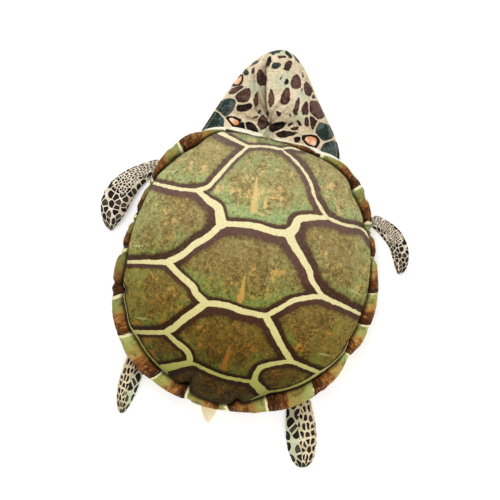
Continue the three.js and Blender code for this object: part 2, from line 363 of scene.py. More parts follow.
# Cream seams of the print: the corners they join, the bends between, and their width at either end.
SEAMS = {
    ("front_left", "front_right"): ([(-0.022, 0.289)], 0.005, 0.005),
    ("front_right", "shoulder_right"): (
        [(0.051, 0.272), (0.079, 0.249), (0.100, 0.223), (0.111, 0.200), (0.130, 0.176)], 0.004, 0.007),
    ("shoulder_right", "spine_1_right"): ([(0.110, 0.147), (0.087, 0.137), (0.082, 0.115)], 0.008, 0.022),
    ("spine_1_right", "spine_1_left"): ([(0.040, 0.099), (0.006, 0.102), (-0.028, 0.101)], 0.015, 0.011),
    ("spine_1_left", "shoulder_left"): ([(-0.088, 0.113), (-0.096, 0.127), (-0.120, 0.138)], 0.024, 0.008),
    ("shoulder_left", "front_left"): ([(-0.126, 0.169), (-0.115, 0.188), (-0.085, 0.241)], 0.010, 0.005),
    ("spine_1_left", "flank_left"): ([(-0.101, 0.060), (-0.129, 0.034), (-0.149, 0.009)], 0.014, 0.013),
    ("spine_1_right", "flank_right"): (
        [(0.090, 0.078), (0.113, 0.054), (0.135, 0.030), (0.145, 0.011)], 0.018, 0.009),
    ("flank_left", "spine_2_left"): ([(-0.154, -0.036), (-0.115, -0.058), (-0.102, -0.073)], 0.012, 0.015),
    ("flank_right", "spine_2_right"): ([(0.147, -0.028), (0.115, -0.042), (0.096, -0.058)], 0.010, 0.010),
    ("spine_2_right", "spine_2_left"): ([(0.012, -0.089), (-0.038, -0.084)], 0.012, 0.013),
    ("spine_2_left", "hip_left"): ([(-0.098, -0.113), (-0.116, -0.132), (-0.136, -0.158)], 0.016, 0.014),
    ("spine_2_right", "hip_right"): ([(0.081, -0.113), (0.103, -0.141)], 0.015, 0.012),
    ("hip_left", "rear_left"): ([(-0.131, -0.188), (-0.105, -0.201), (-0.092, -0.212)], 0.009, 0.013),
    ("hip_right", "rear_right"): ([(0.103, -0.193), (0.076, -0.207), (0.068, -0.222)], 0.008, 0.013),
    ("rear_left", "rear_right"): ([(-0.052, -0.238), (-0.016, -0.245), (0.019, -0.247)], 0.007, 0.007),
    ("front_left", "rim_front_left"): ([(-0.096, 0.290)], 0.005, 0.010),
    ("front_right", "rim_front_right"): ([(0.035, 0.299)], 0.004, 0.004),
    ("shoulder_right", "rim_shoulder_right"): ([(0.192, 0.149), (0.239, 0.150)], 0.006, 0.005),
    ("flank_right", "rim_flank_right"): ([(0.244, -0.036)], 0.011, 0.005),
    ("hip_right", "rim_hip_right"): ([(0.172, -0.188)], 0.009, 0.008),
    ("rear_right", "rim_rear_right"): ([], 0.018, 0.022),
    ("rear_left", "rim_rear_left"): ([(-0.109, -0.244)], 0.011, 0.019),
    ("hip_left", "rim_hip_left"): ([(-0.191, -0.185)], 0.009, 0.009),
    ("flank_left", "rim_flank_left"): ([(-0.212, -0.024)], 0.011, 0.005),
    ("shoulder_left", "rim_shoulder_left"): ([(-0.180, 0.151), (-0.216, 0.151)], 0.007, 0.006),
}
# The pale line of the print along the panel's rear edge: its width by degrees, less than nothing for none.
EDGE_LINE = (
    (0, -0.03), (108, -0.03), (113, 0.002), (126, 0.003), (132, 0.007), (160, 0.008), (167, 0.003),
    (171, -0.03), (200, -0.03), (206, 0.005), (230, 0.006), (236, 0.003), (252, 0.002), (257, -0.03),
)
# Scutes: the corners round each, and how broad its dark border is towards the front, right, rear and left.
SCUTES = {
    "vertebral_1": (
        ("front_left", "front_right", "shoulder_right", "spine_1_right", "spine_1_left", "shoulder_left"),
        (0.009, 0.014, 0.009, 0.007),
    ),
    "vertebral_2": (
        ("spine_1_left", "spine_1_right", "flank_right", "spine_2_right", "spine_2_left", "flank_left"),
        (0.020, 0.018, 0.007, 0.007),
    ),
    "vertebral_3": (
        ("spine_2_left", "spine_2_right", "hip_right", "rear_right", "rear_left", "hip_left"),
        (0.018, 0.013, 0.008, 0.009),
    ),
    "tail": (
        ("rear_left", "rear_right", "rim_rear_right", "rim_rear_left"),
        (0.010, 0.014, 0.010, 0.020),
    ),
    "nuchal": (
        ("front_right", "front_left", "rim_front_left", "rim_front_right"),
        (0.004, 0.006, 0.006, 0.010),
    ),
    "costal_left_1": (
        ("front_left", "shoulder_left", "rim_shoulder_left", "rim_front_left"),
        (0.016, 0.014, 0.010, 0.008),
    ),
    "costal_left_2": (
        ("shoulder_left", "spine_1_left", "flank_left", "rim_flank_left", "rim_shoulder_left"),
        (0.015, 0.017, 0.013, 0.008),
    ),
    "costal_left_3": (
        ("flank_left", "spine_2_left", "hip_left", "rim_hip_left", "rim_flank_left"),
        (0.011, 0.014, 0.012, 0.008),
    ),
    "costal_left_4": (
        ("hip_left", "rear_left", "rim_rear_left", "rim_hip_left"),
        (0.008, 0.011, 0.009, 0.008),
    ),
    "costal_right_1": (
        ("shoulder_right", "front_right", "rim_front_right", "rim_shoulder_right"),
        (0.008, 0.009, 0.012, 0.016),
    ),
    "costal_right_2": (
        ("flank_right", "spine_1_right", "shoulder_right", "rim_shoulder_right", "rim_flank_right"),
        (0.015, 0.010, 0.019, 0.017),
    ),
    "costal_right_3": (
        ("hip_right", "spine_2_right", "flank_right", "rim_flank_right", "rim_hip_right"),
        (0.013, 0.009, 0.011, 0.016),
    ),
    "costal_right_4": (
        ("rear_right", "hip_right", "rim_hip_right", "rim_rear_right"),
        (0.009, 0.008, 0.008, 0.009),
    ),
}
BORDER_ROUNDING = 5
# Ochre flames in the middle scutes: foot and tip of each, and its half width.
FLAMES = (
    ((-0.015, 0.137), (-0.024, 0.212), 0.010), ((-0.003, -0.064), (-0.004, -0.004), 0.009),
    ((-0.008, -0.226), (-0.004, -0.176), 0.009), ((0.008, 0.150), (0.004, 0.180), 0.005),
)
# Painted highlights: pale green strokes in the side scutes.
GLINTS = (
    ((-0.250, 0.183), (-0.207, 0.190)), ((-0.279, 0.000), (-0.239, 0.008)),
    ((-0.237, -0.159), (-0.197, -0.155)), ((0.229, 0.009), (0.278, -0.003)),
    ((0.191, -0.150), (0.238, -0.153)),
)


def smooth_line(points, steps=8):
    """A smooth curve through a few points."""
    points = np.array(points, float)
    ends = np.vstack([2 * points[0] - points[1], points, 2 * points[-1] - points[-2]])
    t = np.linspace(0, 1, steps, endpoint=False)[:, None]
    spans = [
        0.5 * (2 * b + (c - a) * t + (2 * a - 5 * b + 4 * c - d) * t**2 + (3 * b - a - 3 * c + d) * t**3)
        for a, b, c, d in zip(ends, ends[1:], ends[2:], ends[3:])
    ]
    return np.vstack([*spans, points[-1:]])


def seam_line(start, end):
    """The curve of a seam between two corners, whichever way round it is listed."""
    if (start, end) in SEAMS:
        return smooth_line([CORNERS[start], *SEAMS[start, end][0], CORNERS[end]])
    if (end, start) in SEAMS:
        return smooth_line([CORNERS[end], *SEAMS[end, start][0], CORNERS[start]])[::-1]
    return np.array([CORNERS[start], 1.6 * np.add(CORNERS[start], CORNERS[end]) / 2, CORNERS[end]])


def distance_to_line(places, start, end):
    """Distance from a line between two points, and the share of its length reached."""
    start, end = np.array(start), np.array(end)
    share = np.clip((places - start) @ (end - start) / ((end - start) @ (end - start)), 0, 1)
    return np.linalg.norm(places - start - share[..., None] * (end - start), axis=-1), share


def seam_fields(plan):
    """For each seam and point of the plan, the distance outside its edge and the direction towards it."""
    gaps, directions = [], []
    for (start, end), (_, width_start, width_end) in SEAMS.items():
        best = np.full(len(plan), 9.0)
        towards = np.zeros_like(plan)
        line = seam_line(start, end)
        if end.startswith("rim_"):
            line = np.vstack([line, line[-1] + 0.5 * (line[-1] - line[-9])])
        lengths = np.linalg.norm(np.diff(line, axis=0), axis=1)
        reached = np.concatenate([[0], np.cumsum(lengths)]) / lengths.sum()
        for a, b, share_a, share_b in zip(line, line[1:], reached, reached[1:]):
            t = np.clip((plan - a) @ (b - a) / ((b - a) @ (b - a)), 0, 1)
            offset = a + t[:, None] * (b - a) - plan
            distance = np.linalg.norm(offset, axis=1)
            share = share_a + (share_b - share_a) * t
            gap = distance - (width_start + (width_end - width_start) * share) / 2
            closer = gap < best
            best = np.where(closer, gap, best)
            towards[closer] = (offset / np.maximum(distance, 1e-6)[:, None])[closer]
        gaps.append(best)
        directions.append(towards)
    return np.array(gaps), np.array(directions)


def inside(plan, loop):
    """Which points of the plan lie inside a closed loop."""
    found = np.zeros(len(plan), bool)
    for (x1, y1), (x2, y2) in zip(loop, loop[1:] + loop[:1]):
        if y1 != y2:
            crossing = x1 + (plan[:, 1] - y1) * (x2 - x1) / (y2 - y1)
            found ^= ((y1 > plan[:, 1]) != (y2 > plan[:, 1])) & (plan[:, 0] < crossing)
    return found


def give_attribute(piece, name, values):
    """Stores one number for each vertex, for the piece's material to read."""
    made = piece.data.attributes.new(name, "FLOAT", "POINT")
    made.data.foreach_set("value", np.asarray(values, np.float32))


plan = vertex_points(carapace)[:, :2]
plan_degrees = np.degrees(np.arctan2(plan[:, 0], plan[:, 1])) % 360
plan_radius = np.linalg.norm(plan, axis=1)
edge_gap = np.interp(plan_degrees, column_degrees, seam_radius, period=360) - plan_radius
seam_gaps, seam_directions = seam_fields(plan)
edge_line_gap = edge_gap - np.interp(plan_degrees, *zip(*EDGE_LINE), period=360)
seam_gaps = np.vstack([seam_gaps, edge_line_gap[None]])
seam_directions = np.vstack([seam_directions, (plan / np.maximum(plan_radius, 1e-6)[:, None])[None]])
seam_gap = seam_gaps.min(0)
border_widths = np.full((len(plan), 4), 0.012)
greening = np.zeros(len(plan))
heart = np.zeros(len(plan))
painted_side_light = np.zeros(len(plan))
for scute, (loop, widths) in SCUTES.items():
    edge = [tuple(p) for start, end in zip(loop, loop[1:] + loop[:1]) for p in seam_line(start, end)[:-1]]
    members = inside(plan, edge)
    border_widths[members] = widths
    middle = np.mean([CORNERS[name] for name in loop], 0)
    outward = plan[members] - middle
    heart[members] = np.exp(-((np.linalg.norm(outward, axis=1) / 0.07) ** 2))
    if scute.startswith("costal"):
        outer = np.sign(middle[0]) * outward[:, 0]
        to_rear = smoothstep(-0.01, 0.07, -outward[:, 1])
        greening[members] = 0.12 + 0.45 * smoothstep(-0.04, 0.12, outer) + 0.2 * to_rear
        # Painted light: the outer parts of the side scutes are drawn paler, for the light on their slopes.
        painted_side_light[members] = smoothstep(0.0, 0.11, outer)
        if middle[0] > 0:
            greening[members] *= 0.7
    elif scute.startswith("vertebral"):
        foremost = 0.15 * (scute == "vertebral_1")
        greening[members] = 0.15 + foremost + 0.45 * smoothstep(0.0, 0.09, -outward[:, 1])
    else:
        greening[members] = 0.2
front, right, rear, left = border_widths.T
to_x, to_y = seam_directions[..., 0], seam_directions[..., 1]
width_that_way = to_x**2 * np.where(to_x > 0, right, left) + to_y**2 * np.where(to_y > 0, front, rear)
width_that_way[-1] = 0.004
border_shares = np.maximum(seam_gaps, 1e-4) / np.maximum(width_that_way, 0.003)
border = (border_shares**-BORDER_ROUNDING).sum(0) ** (-1 / BORDER_ROUNDING)
beyond_border = np.maximum(0, seam_gaps - width_that_way) / 0.018
rear_green = (np.exp(-(beyond_border**2)) * smoothstep(0.3, 0.8, -to_y)).max(0)
rear_border = (np.exp(-(beyond_border**2)) * smoothstep(-0.3, 0.7, -to_y)).max(0)
flame = np.zeros(len(plan))
for foot, tip, half_width in FLAMES:
    away, up = distance_to_line(plan, foot, tip)
    flame = np.maximum(flame, 1 - away / (half_width * (1.15 - up)))
glint = np.zeros(len(plan))
for start, end in GLINTS:
    away, along = distance_to_line(plan, start, end)
    stroke = np.sin(math.pi * np.clip(along, 0.08, 0.92)) ** 0.5
    glint = np.maximum(glint, np.exp(-((away / 0.003) ** 2)) * stroke)
give_attribute(carapace, "seam_gap", seam_gap)
give_attribute(carapace, "border", border)
give_attribute(carapace, "greening", greening + 0.35 * rear_green)
give_attribute(carapace, "ochre_flame", flame)
give_attribute(carapace, "glint", glint)
give_attribute(carapace, "heart", heart)
give_attribute(carapace, "painted_side_light", painted_side_light)
give_attribute(carapace, "rear_border", rear_border)
give_attribute(carapace, "edge_gap", edge_gap)


def srgb(text):
    """Linear colour from a six-digit web colour."""
    parts = [int(text[i : i + 2], 16) / 255 for i in (0, 2, 4)]
    return (*[c / 12.92 if c <= 0.04045 else ((c + 0.055) / 1.055) ** 2.4 for c in parts], 1)


def add_node(tree, kind, feeds=None, **settings):
    """A node with its settings, and each input set to a value or fed by another node's output."""
    made = tree.nodes.new(kind)
    for name, value in settings.items():
        setattr(made, name, value)
    for socket, value in (feeds or {}).items():
        if isinstance(value, bpy.types.NodeSocket):
            tree.links.new(value, made.inputs[socket])
        else:
            made.inputs[socket].default_value = value
    return made


def calculate(tree, operation, *values):
    return add_node(tree, "ShaderNodeMath", dict(enumerate(values)), operation=operation).outputs[0]


def times(tree, first, second):
    return calculate(tree, "MULTIPLY", first, second)


def plus(tree, first, second):
    return calculate(tree, "ADD", first, second)


def minus(tree, first, second):
    return calculate(tree, "SUBTRACT", first, second)


def ease(tree, value, low, high):
    """0 below low and 1 above high, smooth between."""
    feeds = {"Value": value, "From Min": low, "From Max": high}
    return add_node(tree, "ShaderNodeMapRange", feeds, interpolation_type="SMOOTHSTEP").outputs["Result"]


def lay_colour(tree, amount, under, over):
    """One colour laid over another: print, and painted light and shade where the callers say so."""
    made = add_node(tree, "ShaderNodeMix", {"Factor": amount}, data_type="RGBA")
    for socket, colour in ((made.inputs[6], under), (made.inputs[7], over)):
        if isinstance(colour, bpy.types.NodeSocket):
            tree.links.new(colour, socket)
        else:
            socket.default_value = colour
    return made.outputs[2]


def blotches(tree, where, scale, detail=3.0, roughness=0.55):
    feeds = {"Vector": where, "Scale": scale, "Detail": detail, "Roughness": roughness}
    return add_node(tree, "ShaderNodeTexNoise", feeds).outputs["Fac"]


def shades(tree, value, *stops):
    """A ramp of web colours at places from 0 to 1."""
    made = add_node(tree, "ShaderNodeValToRGB", {"Fac": value})
    ramp = made.color_ramp
    while len(ramp.elements) < len(stops):
        ramp.elements.new(1)
    for element, (place, colour) in zip(ramp.elements, stops):
        element.position = place
        element.color = srgb(colour)
    return made.outputs["Color"]


def attribute(tree, name):
    return add_node(tree, "ShaderNodeAttribute", attribute_name=name).outputs["Fac"]


def plush_nap_group():
    """Short plush: each tuft of the nap takes the print a little lighter or darker and stands up a little."""
    group = bpy.data.node_groups.new("plush_nap", "ShaderNodeTree")
    for name, kind, way in (
        ("Print", "NodeSocketColor", "INPUT"),
        ("Grain", "NodeSocketFloat", "INPUT"),
        ("Colour", "NodeSocketColor", "OUTPUT"),
        ("Roughness", "NodeSocketFloat", "OUTPUT"),
        ("Height", "NodeSocketFloat", "OUTPUT"),
    ):
        group.interface.new_socket(name, in_out=way, socket_type=kind)
    given = group.nodes.new("NodeGroupInput")
    where = add_node(group, "ShaderNodeTexCoord").outputs["Object"]
    tufts = blotches(group, where, 620, 2.0, 0.6)
    nap = blotches(group, where, 210, 3.0, 0.65)
    lift = times(group, minus(group, tufts, 0.5), given.outputs["Grain"])
    drift = times(group, minus(group, nap, 0.5), 0.5)
    value = plus(group, 1, plus(group, lift, drift))
    colour = add_node(group, "ShaderNodeHueSaturation", {"Value": value, "Color": given.outputs["Print"]})
    rough = plus(group, 0.72, times(group, tufts, 0.25))
    height = plus(group, tufts, times(group, nap, 1.5))
    leave = group.nodes.new("NodeGroupOutput")
    group.links.new(colour.outputs["Color"], leave.inputs["Colour"])
    group.links.new(rough, leave.inputs["Roughness"])
    group.links.new(height, leave.inputs["Height"])
    return group


plush_nap = plush_nap_group()


def plush_material(name, draw_print, grain=0.8, relief=0.0009, sheen=0.03):
    """Printed plush: draw_print puts the pattern into the tree, and the nap goes over it."""
    material = bpy.data.materials.new(name)
    material.use_nodes = True
    tree = material.node_tree
    shader = tree.nodes["Principled BSDF"]
    shader.inputs["Sheen Weight"].default_value = sheen
    shader.inputs["Sheen Roughness"].default_value = 0.5
    shader.inputs["Specular IOR Level"].default_value = 0.05
    where = add_node(tree, "ShaderNodeTexCoord").outputs["Object"]
    nap = add_node(tree, "ShaderNodeGroup", node_tree=plush_nap)
    nap.inputs["Grain"].default_value = grain
    tree.links.new(draw_print(tree, where), nap.inputs["Print"])
    bump = add_node(tree, "ShaderNodeBump", {"Height": nap.outputs["Height"], "Distance": relief})
    tree.links.new(nap.outputs["Colour"], shader.inputs["Base Color"])
    tree.links.new(nap.outputs["Roughness"], shader.inputs["Roughness"])
    tree.links.new(bump.outputs["Normal"], shader.inputs["Normal"])
    return material


def ease_line(tree, value, low, high):
    """0 at low and 1 at high, straight between."""
    feeds = {"Value": value, "From Min": low, "From Max": high}
    return add_node(tree, "ShaderNodeMapRange", feeds).outputs["Result"]


def blend_noise(tree, *shares):
    """Adds noises by their shares, each taken about its middle."""
    total = 0.0
    for noise, share in shares:
        centred = times(tree, minus(tree, noise, 0.5), share)
        total = plus(tree, centred, total)
    return total


def scute_print(tree, where):
    """Cream seams, dark ragged borders, and mottled olive, green and ochre inside each scute."""
    parts = add_node(tree, "ShaderNodeSeparateXYZ", {"Vector": where})
    lengthwise = ease_line(tree, parts.outputs["Y"], -0.31, 0.31)
    strokes = add_node(tree, "ShaderNodeMapping", {"Vector": where, "Scale": (1.0, 0.6, 1.0)}).outputs[0]
    # The colours below run darker towards the rear: partly the print's own tone, partly painted shade on the
    # rear of the dome.
    olive = shades(tree, lengthwise, (0.0, "2c2008"), (0.12, "463610"), (0.26, "624e1c"), (0.4, "74612f"),
                   (0.5, "827040"), (0.62, "8a774a"), (0.78, "9e8e5a"), (0.92, "a99a66"), (1.0, "94855c"))
    green = shades(tree, lengthwise, (0.0, "30330c"), (0.12, "4b531b"), (0.28, "64732c"), (0.42, "708240"),
                   (0.5, "7d8f4f"), (0.7, "98b074"), (1.0, "859d70"))
    ochre = shades(tree, lengthwise, (0.0, "5e3f10"), (0.14, "8a541c"), (0.24, "b06c26"), (0.42, "c99b4a"),
                   (0.55, "cfa85e"), (0.76, "e8c582"), (1.0, "d9be84"))
    shadow = shades(tree, lengthwise, (0.0, "140c03"), (0.12, "221706"), (0.26, "36280c"), (0.5, "4c401b"),
                    (0.76, "6c6038"), (1.0, "70643e"))
    plum = shades(tree, lengthwise, (0.0, "1d0f06"), (0.12, "2b190c"), (0.28, "3c2313"), (0.5, "573a31"),
                  (0.76, "6b5049"), (1.0, "6f5a54"))
    deep_plum = shades(tree, lengthwise, (0.0, "120803"), (0.12, "1f1106"), (0.28, "2c180a"), (0.5, "3c2518"),
                       (0.76, "574136"), (1.0, "62504a"))
    plum = lay_colour(tree, times(tree, attribute(tree, "rear_border"), 0.75), plum, deep_plum)
    cream = shades(tree, lengthwise, (0.0, "7c7c38"), (0.12, "a29d52"), (0.28, "d0c482"), (0.5, "e6daa2"),
                   (0.76, "ebe0ae"), (1.0, "e6dcb2"))
    cloud = blotches(tree, where, 13, 3.0, 0.5)
    big = blotches(tree, strokes, 34, 5.0, 0.65)
    middling = blotches(tree, where, 44, 4.0, 0.6)
    small = blotches(tree, where, 120, 5.0, 0.75)
    speck = blotches(tree, where, 310, 3.0, 0.7)
    greening = attribute(tree, "greening")
    greenness = plus(tree, greening, blend_noise(tree, (big, 1.5), (cloud, 0.9), (small, 0.9)))
    ground = lay_colour(tree, ease(tree, greenness, 0.05, 0.85), olive, green)
    dark_place = blend_noise(tree, (small, 1.0), (speck, 0.7), (big, 0.6))
    # Painted light on the slopes of the side scutes, a pale ochre green over the ground.
    side_light_tint = lay_colour(tree, 0.5, ochre, green)
    ground = lay_colour(tree, times(tree, attribute(tree, "painted_side_light"), 0.38), ground, side_light_tint)
    ground = lay_colour(tree, times(tree, ease(tree, dark_place, 0.04, -0.2), 0.8), ground, shadow)
    ochre_place = blend_noise(tree, (cloud, 0.7), (middling, 1.5), (small, 0.6), (speck, 0.4))
    ochre_place = plus(tree, ochre_place, times(tree, attribute(tree, "heart"), 0.12))
    ground = lay_colour(tree, times(tree, ease(tree, ochre_place, 0.14, 0.40), 0.75), ground, ochre)
    flame_place = plus(tree, attribute(tree, "ochre_flame"), blend_noise(tree, (small, 1.4), (speck, 0.8)))
    ground = lay_colour(tree, times(tree, ease(tree, flame_place, -0.1, 0.6), 0.8), ground, ochre)
    # Painted highlights along the glint strokes, in a pale green.
    stroke = plus(tree, attribute(tree, "glint"), blend_noise(tree, (small, 0.8), (speck, 0.5)))
    pale = lay_colour(tree, 0.42, green, cream)
    ground = lay_colour(tree, times(tree, ease(tree, stroke, 0.35, 0.75), 0.8), ground, pale)
    ragged = blend_noise(tree, (cloud, 0.5), (big, 0.5), (small, 0.45), (speck, 0.25))
    border = plus(tree, attribute(tree, "border"), ragged)
    ground = lay_colour(tree, times(tree, ease(tree, border, 1.6, 1.0), 0.4), ground, shadow)
    worn = lay_colour(tree, times(tree, ease(tree, small, 0.45, 0.75), 0.35), plum, olive)
    ground = lay_colour(tree, ease(tree, border, 1.18, 0.8), ground, worn)
    wander = times(tree, minus(tree, blotches(tree, where, 70, 2.0), 0.5), 0.005)
    seam = plus(tree, attribute(tree, "seam_gap"), wander)
    ground = lay_colour(tree, ease(tree, seam, 0.0013, -0.0003), ground, cream)
    # Painted shade: the panel darkens towards its edge, in the crease where it is sewn to the rim.
    seam_crease_shade = times(tree, ease(tree, attribute(tree, "edge_gap"), 0.003, 0.0), 0.8)
    return lay_colour(tree, seam_crease_shade, ground, srgb("1a1208"))


carapace.data.materials.append(plush_material("scute_printed_plush", scute_print))
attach(carapace, "root")
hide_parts("carapace_cushion")


# Rim roll: a padded band of plush, printed with marginal scutes from green to rust, with cream edges.
# It is gathered into the top seam and sewn to the belly panel underneath.
# Width of the plain cream lip round the neck opening, by degrees; it is drawn almost white, with a painted
# highlight.
LIP_WIDTH = (
    (0, 0.006), (3, 0.004), (12, 0.005), (18, 0.009), (24, 0.009), (29, 0.004), (38, 0.004),
    (46, 0), (322, 0), (328, 0.003), (334, 0.004), (338, 0.011), (350, 0.010), (356, 0.008),
)
# How much darker the rim is coloured, by degrees; under the front lip this is painted shade.
RIM_GLOOM = (
    (0, 0.3), (50, 0.3), (75, 0.15), (92, 0), (135, 0), (145, 0.25), (190, 0.3),
    (200, 0.1), (235, 0.1), (248, 0.5), (300, 0.5), (318, 0.3), (340, 0.35),
)
rim_rings = [panel_rings[-1], *band_rings]
inner_wall = wall_behind_rim(-0.001)[::-1]
inner_wall[0] = on_plan(outline - 0.049, 0.006 + 0 * outline)
rim = sew_rings("rim_roll_plush", rim_rings + inner_wall, joined=True)

rim_points = vertex_points(rim)
rim_radius = np.linalg.norm(rim_points[:, :2], axis=1)
rim_degrees = np.degrees(np.arctan2(rim_points[:, 0], rim_points[:, 1])) % 360
rim_row = np.repeat(np.arange(len(rim_rings + inner_wall)), COLUMNS)
lean = 7 * np.sin(np.radians(4.3 * rim_degrees + 40)) * np.sin(np.radians(rim_degrees / 2))
leaning_degrees = (rim_degrees + lean * np.minimum(rim_row / BAND_ROWS, 1)) % 360
edges = np.array(sorted(MARGINAL_EDGES))
slot_number = np.searchsorted(edges, leaning_degrees) % len(edges)
slot_end = edges[slot_number]
slot_start = edges[slot_number - 1]
slot_size = (slot_end - slot_start) % 360
from_start = (leaning_degrees - slot_start) % 360
along = from_start / slot_size
along = np.where(rim_degrees > 180, 1 - along, along)
edge_distance = np.minimum(from_start, slot_size - from_start)
edge_metres = np.radians(edge_distance) * rim_radius
edge_metres = edge_metres - np.random.default_rng(5).uniform(-0.0006, 0.0030, len(edges))[slot_number]
outer_gap = np.interp(rim_degrees, column_degrees, outline, period=360) - rim_radius
lip_width = np.interp(rim_degrees, *zip(*LIP_WIDTH), period=360)
lip_wave = 0.0016 * np.sin(np.radians(rim_degrees * 23)) + 0.001 * np.sin(np.radians(rim_degrees * 41 + 50))
lip_edge = lip_width + lip_wave
lip = (1 - smoothstep(-0.0012, 0.0012, outer_gap - lip_edge)) * smoothstep(0.001, 0.003, lip_width)
give_attribute(rim, "along", along)
give_attribute(rim, "edge_metres", edge_metres)
give_attribute(rim, "band_share", rim_row / BAND_ROWS)
give_attribute(rim, "gloom", np.interp(rim_degrees, *zip(*RIM_GLOOM), period=360))
give_attribute(rim, "round_metres", np.radians(rim_degrees) * 0.3)
give_attribute(rim, "lip", lip * (rim_row < BAND_ROWS * 0.37))


def marginal_print(tree, where):
    """Each marginal scute runs from green through ochre and rust to dark brown, with a thin cream edge."""
    band_share = attribute(tree, "band_share")
    streaks = add_node(tree, "ShaderNodeCombineXYZ", {
        0: attribute(tree, "round_metres"),
        1: times(tree, band_share, 0.03),
    }).outputs[0]
    coarse = blotches(tree, streaks, 70, 4.0, 0.6)
    fine = blotches(tree, streaks, 240, 4.0, 0.65)
    place = plus(tree, attribute(tree, "along"), blend_noise(tree, (coarse, 1.1), (fine, 0.7)))
    ground = shades(tree, place, (0.0, "aeb86c"), (0.25, "a39d50"), (0.42, "b8914c"), (0.58, "9a602b"),
                    (0.75, "653818"), (1.0, "341a0a"))
    glint = ease(tree, blotches(tree, streaks, 330, 3.0, 0.6), 0.56, 0.68)
    ground = lay_colour(tree, times(tree, glint, 0.5), ground, srgb("d9be7c"))
    gloom = ease(tree, blotches(tree, where, 48, 3.0, 0.6), 0.52, 0.66)
    ground = lay_colour(tree, times(tree, gloom, 0.5), ground, srgb("35200f"))
    # Darker by degrees round the rim, as RIM_GLOOM gives; painted shade under the front lip.
    ground = lay_colour(tree, attribute(tree, "gloom"), ground, srgb("2a170b"))
    wander = times(tree, minus(tree, blotches(tree, where, 90, 2.0), 0.5), 0.005)
    edge = plus(tree, attribute(tree, "edge_metres"), wander)
    ground = lay_colour(tree, ease(tree, edge, 0.0022, 0.0010), ground, srgb("eadfae"))
    # Painted shade in the crease along the rim's top seam.
    ground = lay_colour(tree, times(tree, ease(tree, band_share, 0.09, 0.02), 0.8), ground, srgb("120b05"))
    # The lip: its own cream, drawn almost white as a painted highlight.
    return lay_colour(tree, attribute(tree, "lip"), ground, srgb("fffae4"))


rim.data.materials.append(plush_material("marginal_printed_plush", marginal_print))
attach(rim, "root")
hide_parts("rim_roll")


# Belly panel: one flat piece of plain cream plush that closes the shell below and carries its weight.
# It is sewn all round to the rim's lower edge, and lies flat on the floor.
BELLY_ROWS = 24
belly_edge = outline - BELLY_SEAM_INSET - 0.002
belly_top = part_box("belly_panel")[1].z
belly_rings = []
for share in np.arange(1, BELLY_ROWS + 1) / BELLY_ROWS:
    belly_rings.append(on_plan(share * belly_edge, 0.004 * smoothstep(0.93, 1, share) + 0.0002))
belly_rings.append(on_plan(belly_edge - 0.003, belly_top + 0 * outline))
belly = sew_rings(
    "belly_panel_plush", belly_rings[::-1], first_pole=(0, 0, belly_top), last_pole=(0, 0, 0.0002),
)


def cream_print(tree, where):
    """Plain cream cloth, a little greyer where it has been handled."""
    soil = ease(tree, blotches(tree, where, 16, 4.0, 0.6), 0.45, 0.75)
    return lay_colour(tree, times(tree, soil, 0.35), srgb("f0e3b6"), srgb("d8c796"))


cream_plush = plush_material("cream_plush", cream_print, grain=0.35)
belly.data.materials.append(cream_plush)
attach(belly, "root")
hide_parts("belly_panel")


# Hood: printed plush with a thin lining, sewn to the front of the rim and left empty, so it has slumped.
# It stands on its two side edges, folds in down its middle, and is drawn in tight just in front of the rim.
HOOD_CLOTH = 0.006
HOOD_ROWS = 120
HOOD_COLUMNS = 200
HOOD_LIFT = 0.0005
NECK_ANGLES = (-0.56, 0.50)
NECK_TUCKED = 0.004
HOOD_LEFT_EDGE = ((-0.157, 0.358), (-0.117, 0.450), (-0.067, 0.515))
HOOD_RIGHT_EDGE = ((0.134, 0.361), (0.075, 0.440), (0.023, 0.510))
HOOD_TIP = (-0.019, 0.534)
HOOD_PINCH = (-0.023, 0.347)
# The long fold: its crest on the left, from which a flap slopes down into the valley, and the valley's foot.
FOLD_CREST = (
    (-0.049, 0.361), (-0.067, 0.377), (-0.077, 0.399), (-0.090, 0.431), (-0.092, 0.460), (-0.086, 0.485),
)
FOLD_VALLEY = (
    (-0.022, 0.354), (-0.031, 0.372), (-0.041, 0.400), (-0.049, 0.440), (-0.056, 0.470), (-0.065, 0.502),
)
FOLD_DEPTH = 0.052
# Creases where the slumped cloth has folded: two ends, depth and half width.
HOOD_CREASES = (
    ((-0.063, 0.413), (-0.035, 0.375), 0.009, 0.0025),
    ((-0.084, 0.470), (-0.070, 0.420), 0.005, 0.0030),
    ((-0.060, 0.372), (-0.030, 0.362), 0.008, 0.0030),
    ((-0.132, 0.362), (-0.074, 0.352), 0.006, 0.0045),
    ((-0.074, 0.352), (-0.024, 0.348), 0.008, 0.0045),
    ((-0.023, 0.347), (0.040, 0.362), 0.009, 0.0040),
    ((-0.023, 0.347), (0.010, 0.385), 0.008, 0.0030),
    ((-0.023, 0.347), (-0.006, 0.400), 0.009, 0.0028),
    ((-0.018, 0.318), (-0.023, 0.347), 0.008, 0.0060),
    ((0.040, 0.470), (0.066, 0.400), 0.004, 0.0050),
    ((0.066, 0.400), (0.084, 0.350), 0.005, 0.0050),
    ((0.020, 0.345), (0.075, 0.335), 0.004, 0.0050),
)


def edge_curve(points):
    """A smooth edge through a few points, sampled evenly along its length for each row of the hood."""
    points = np.array(points)
    chord = np.concatenate([[0], np.cumsum(np.linalg.norm(np.diff(points, axis=0), axis=1))])
    chord = chord / chord[-1]
    fine = np.linspace(0, 1, 400)
    curve = np.stack([np.polyval(np.polyfit(chord, points[:, k], 4), fine) for k in (0, 1)], -1)
    reached = np.concatenate([[0], np.cumsum(np.linalg.norm(np.diff(curve, axis=0), axis=1))])
    return np.stack([np.interp(hood_along * reached[-1], reached, curve[:, k]) for k in (0, 1)], -1)


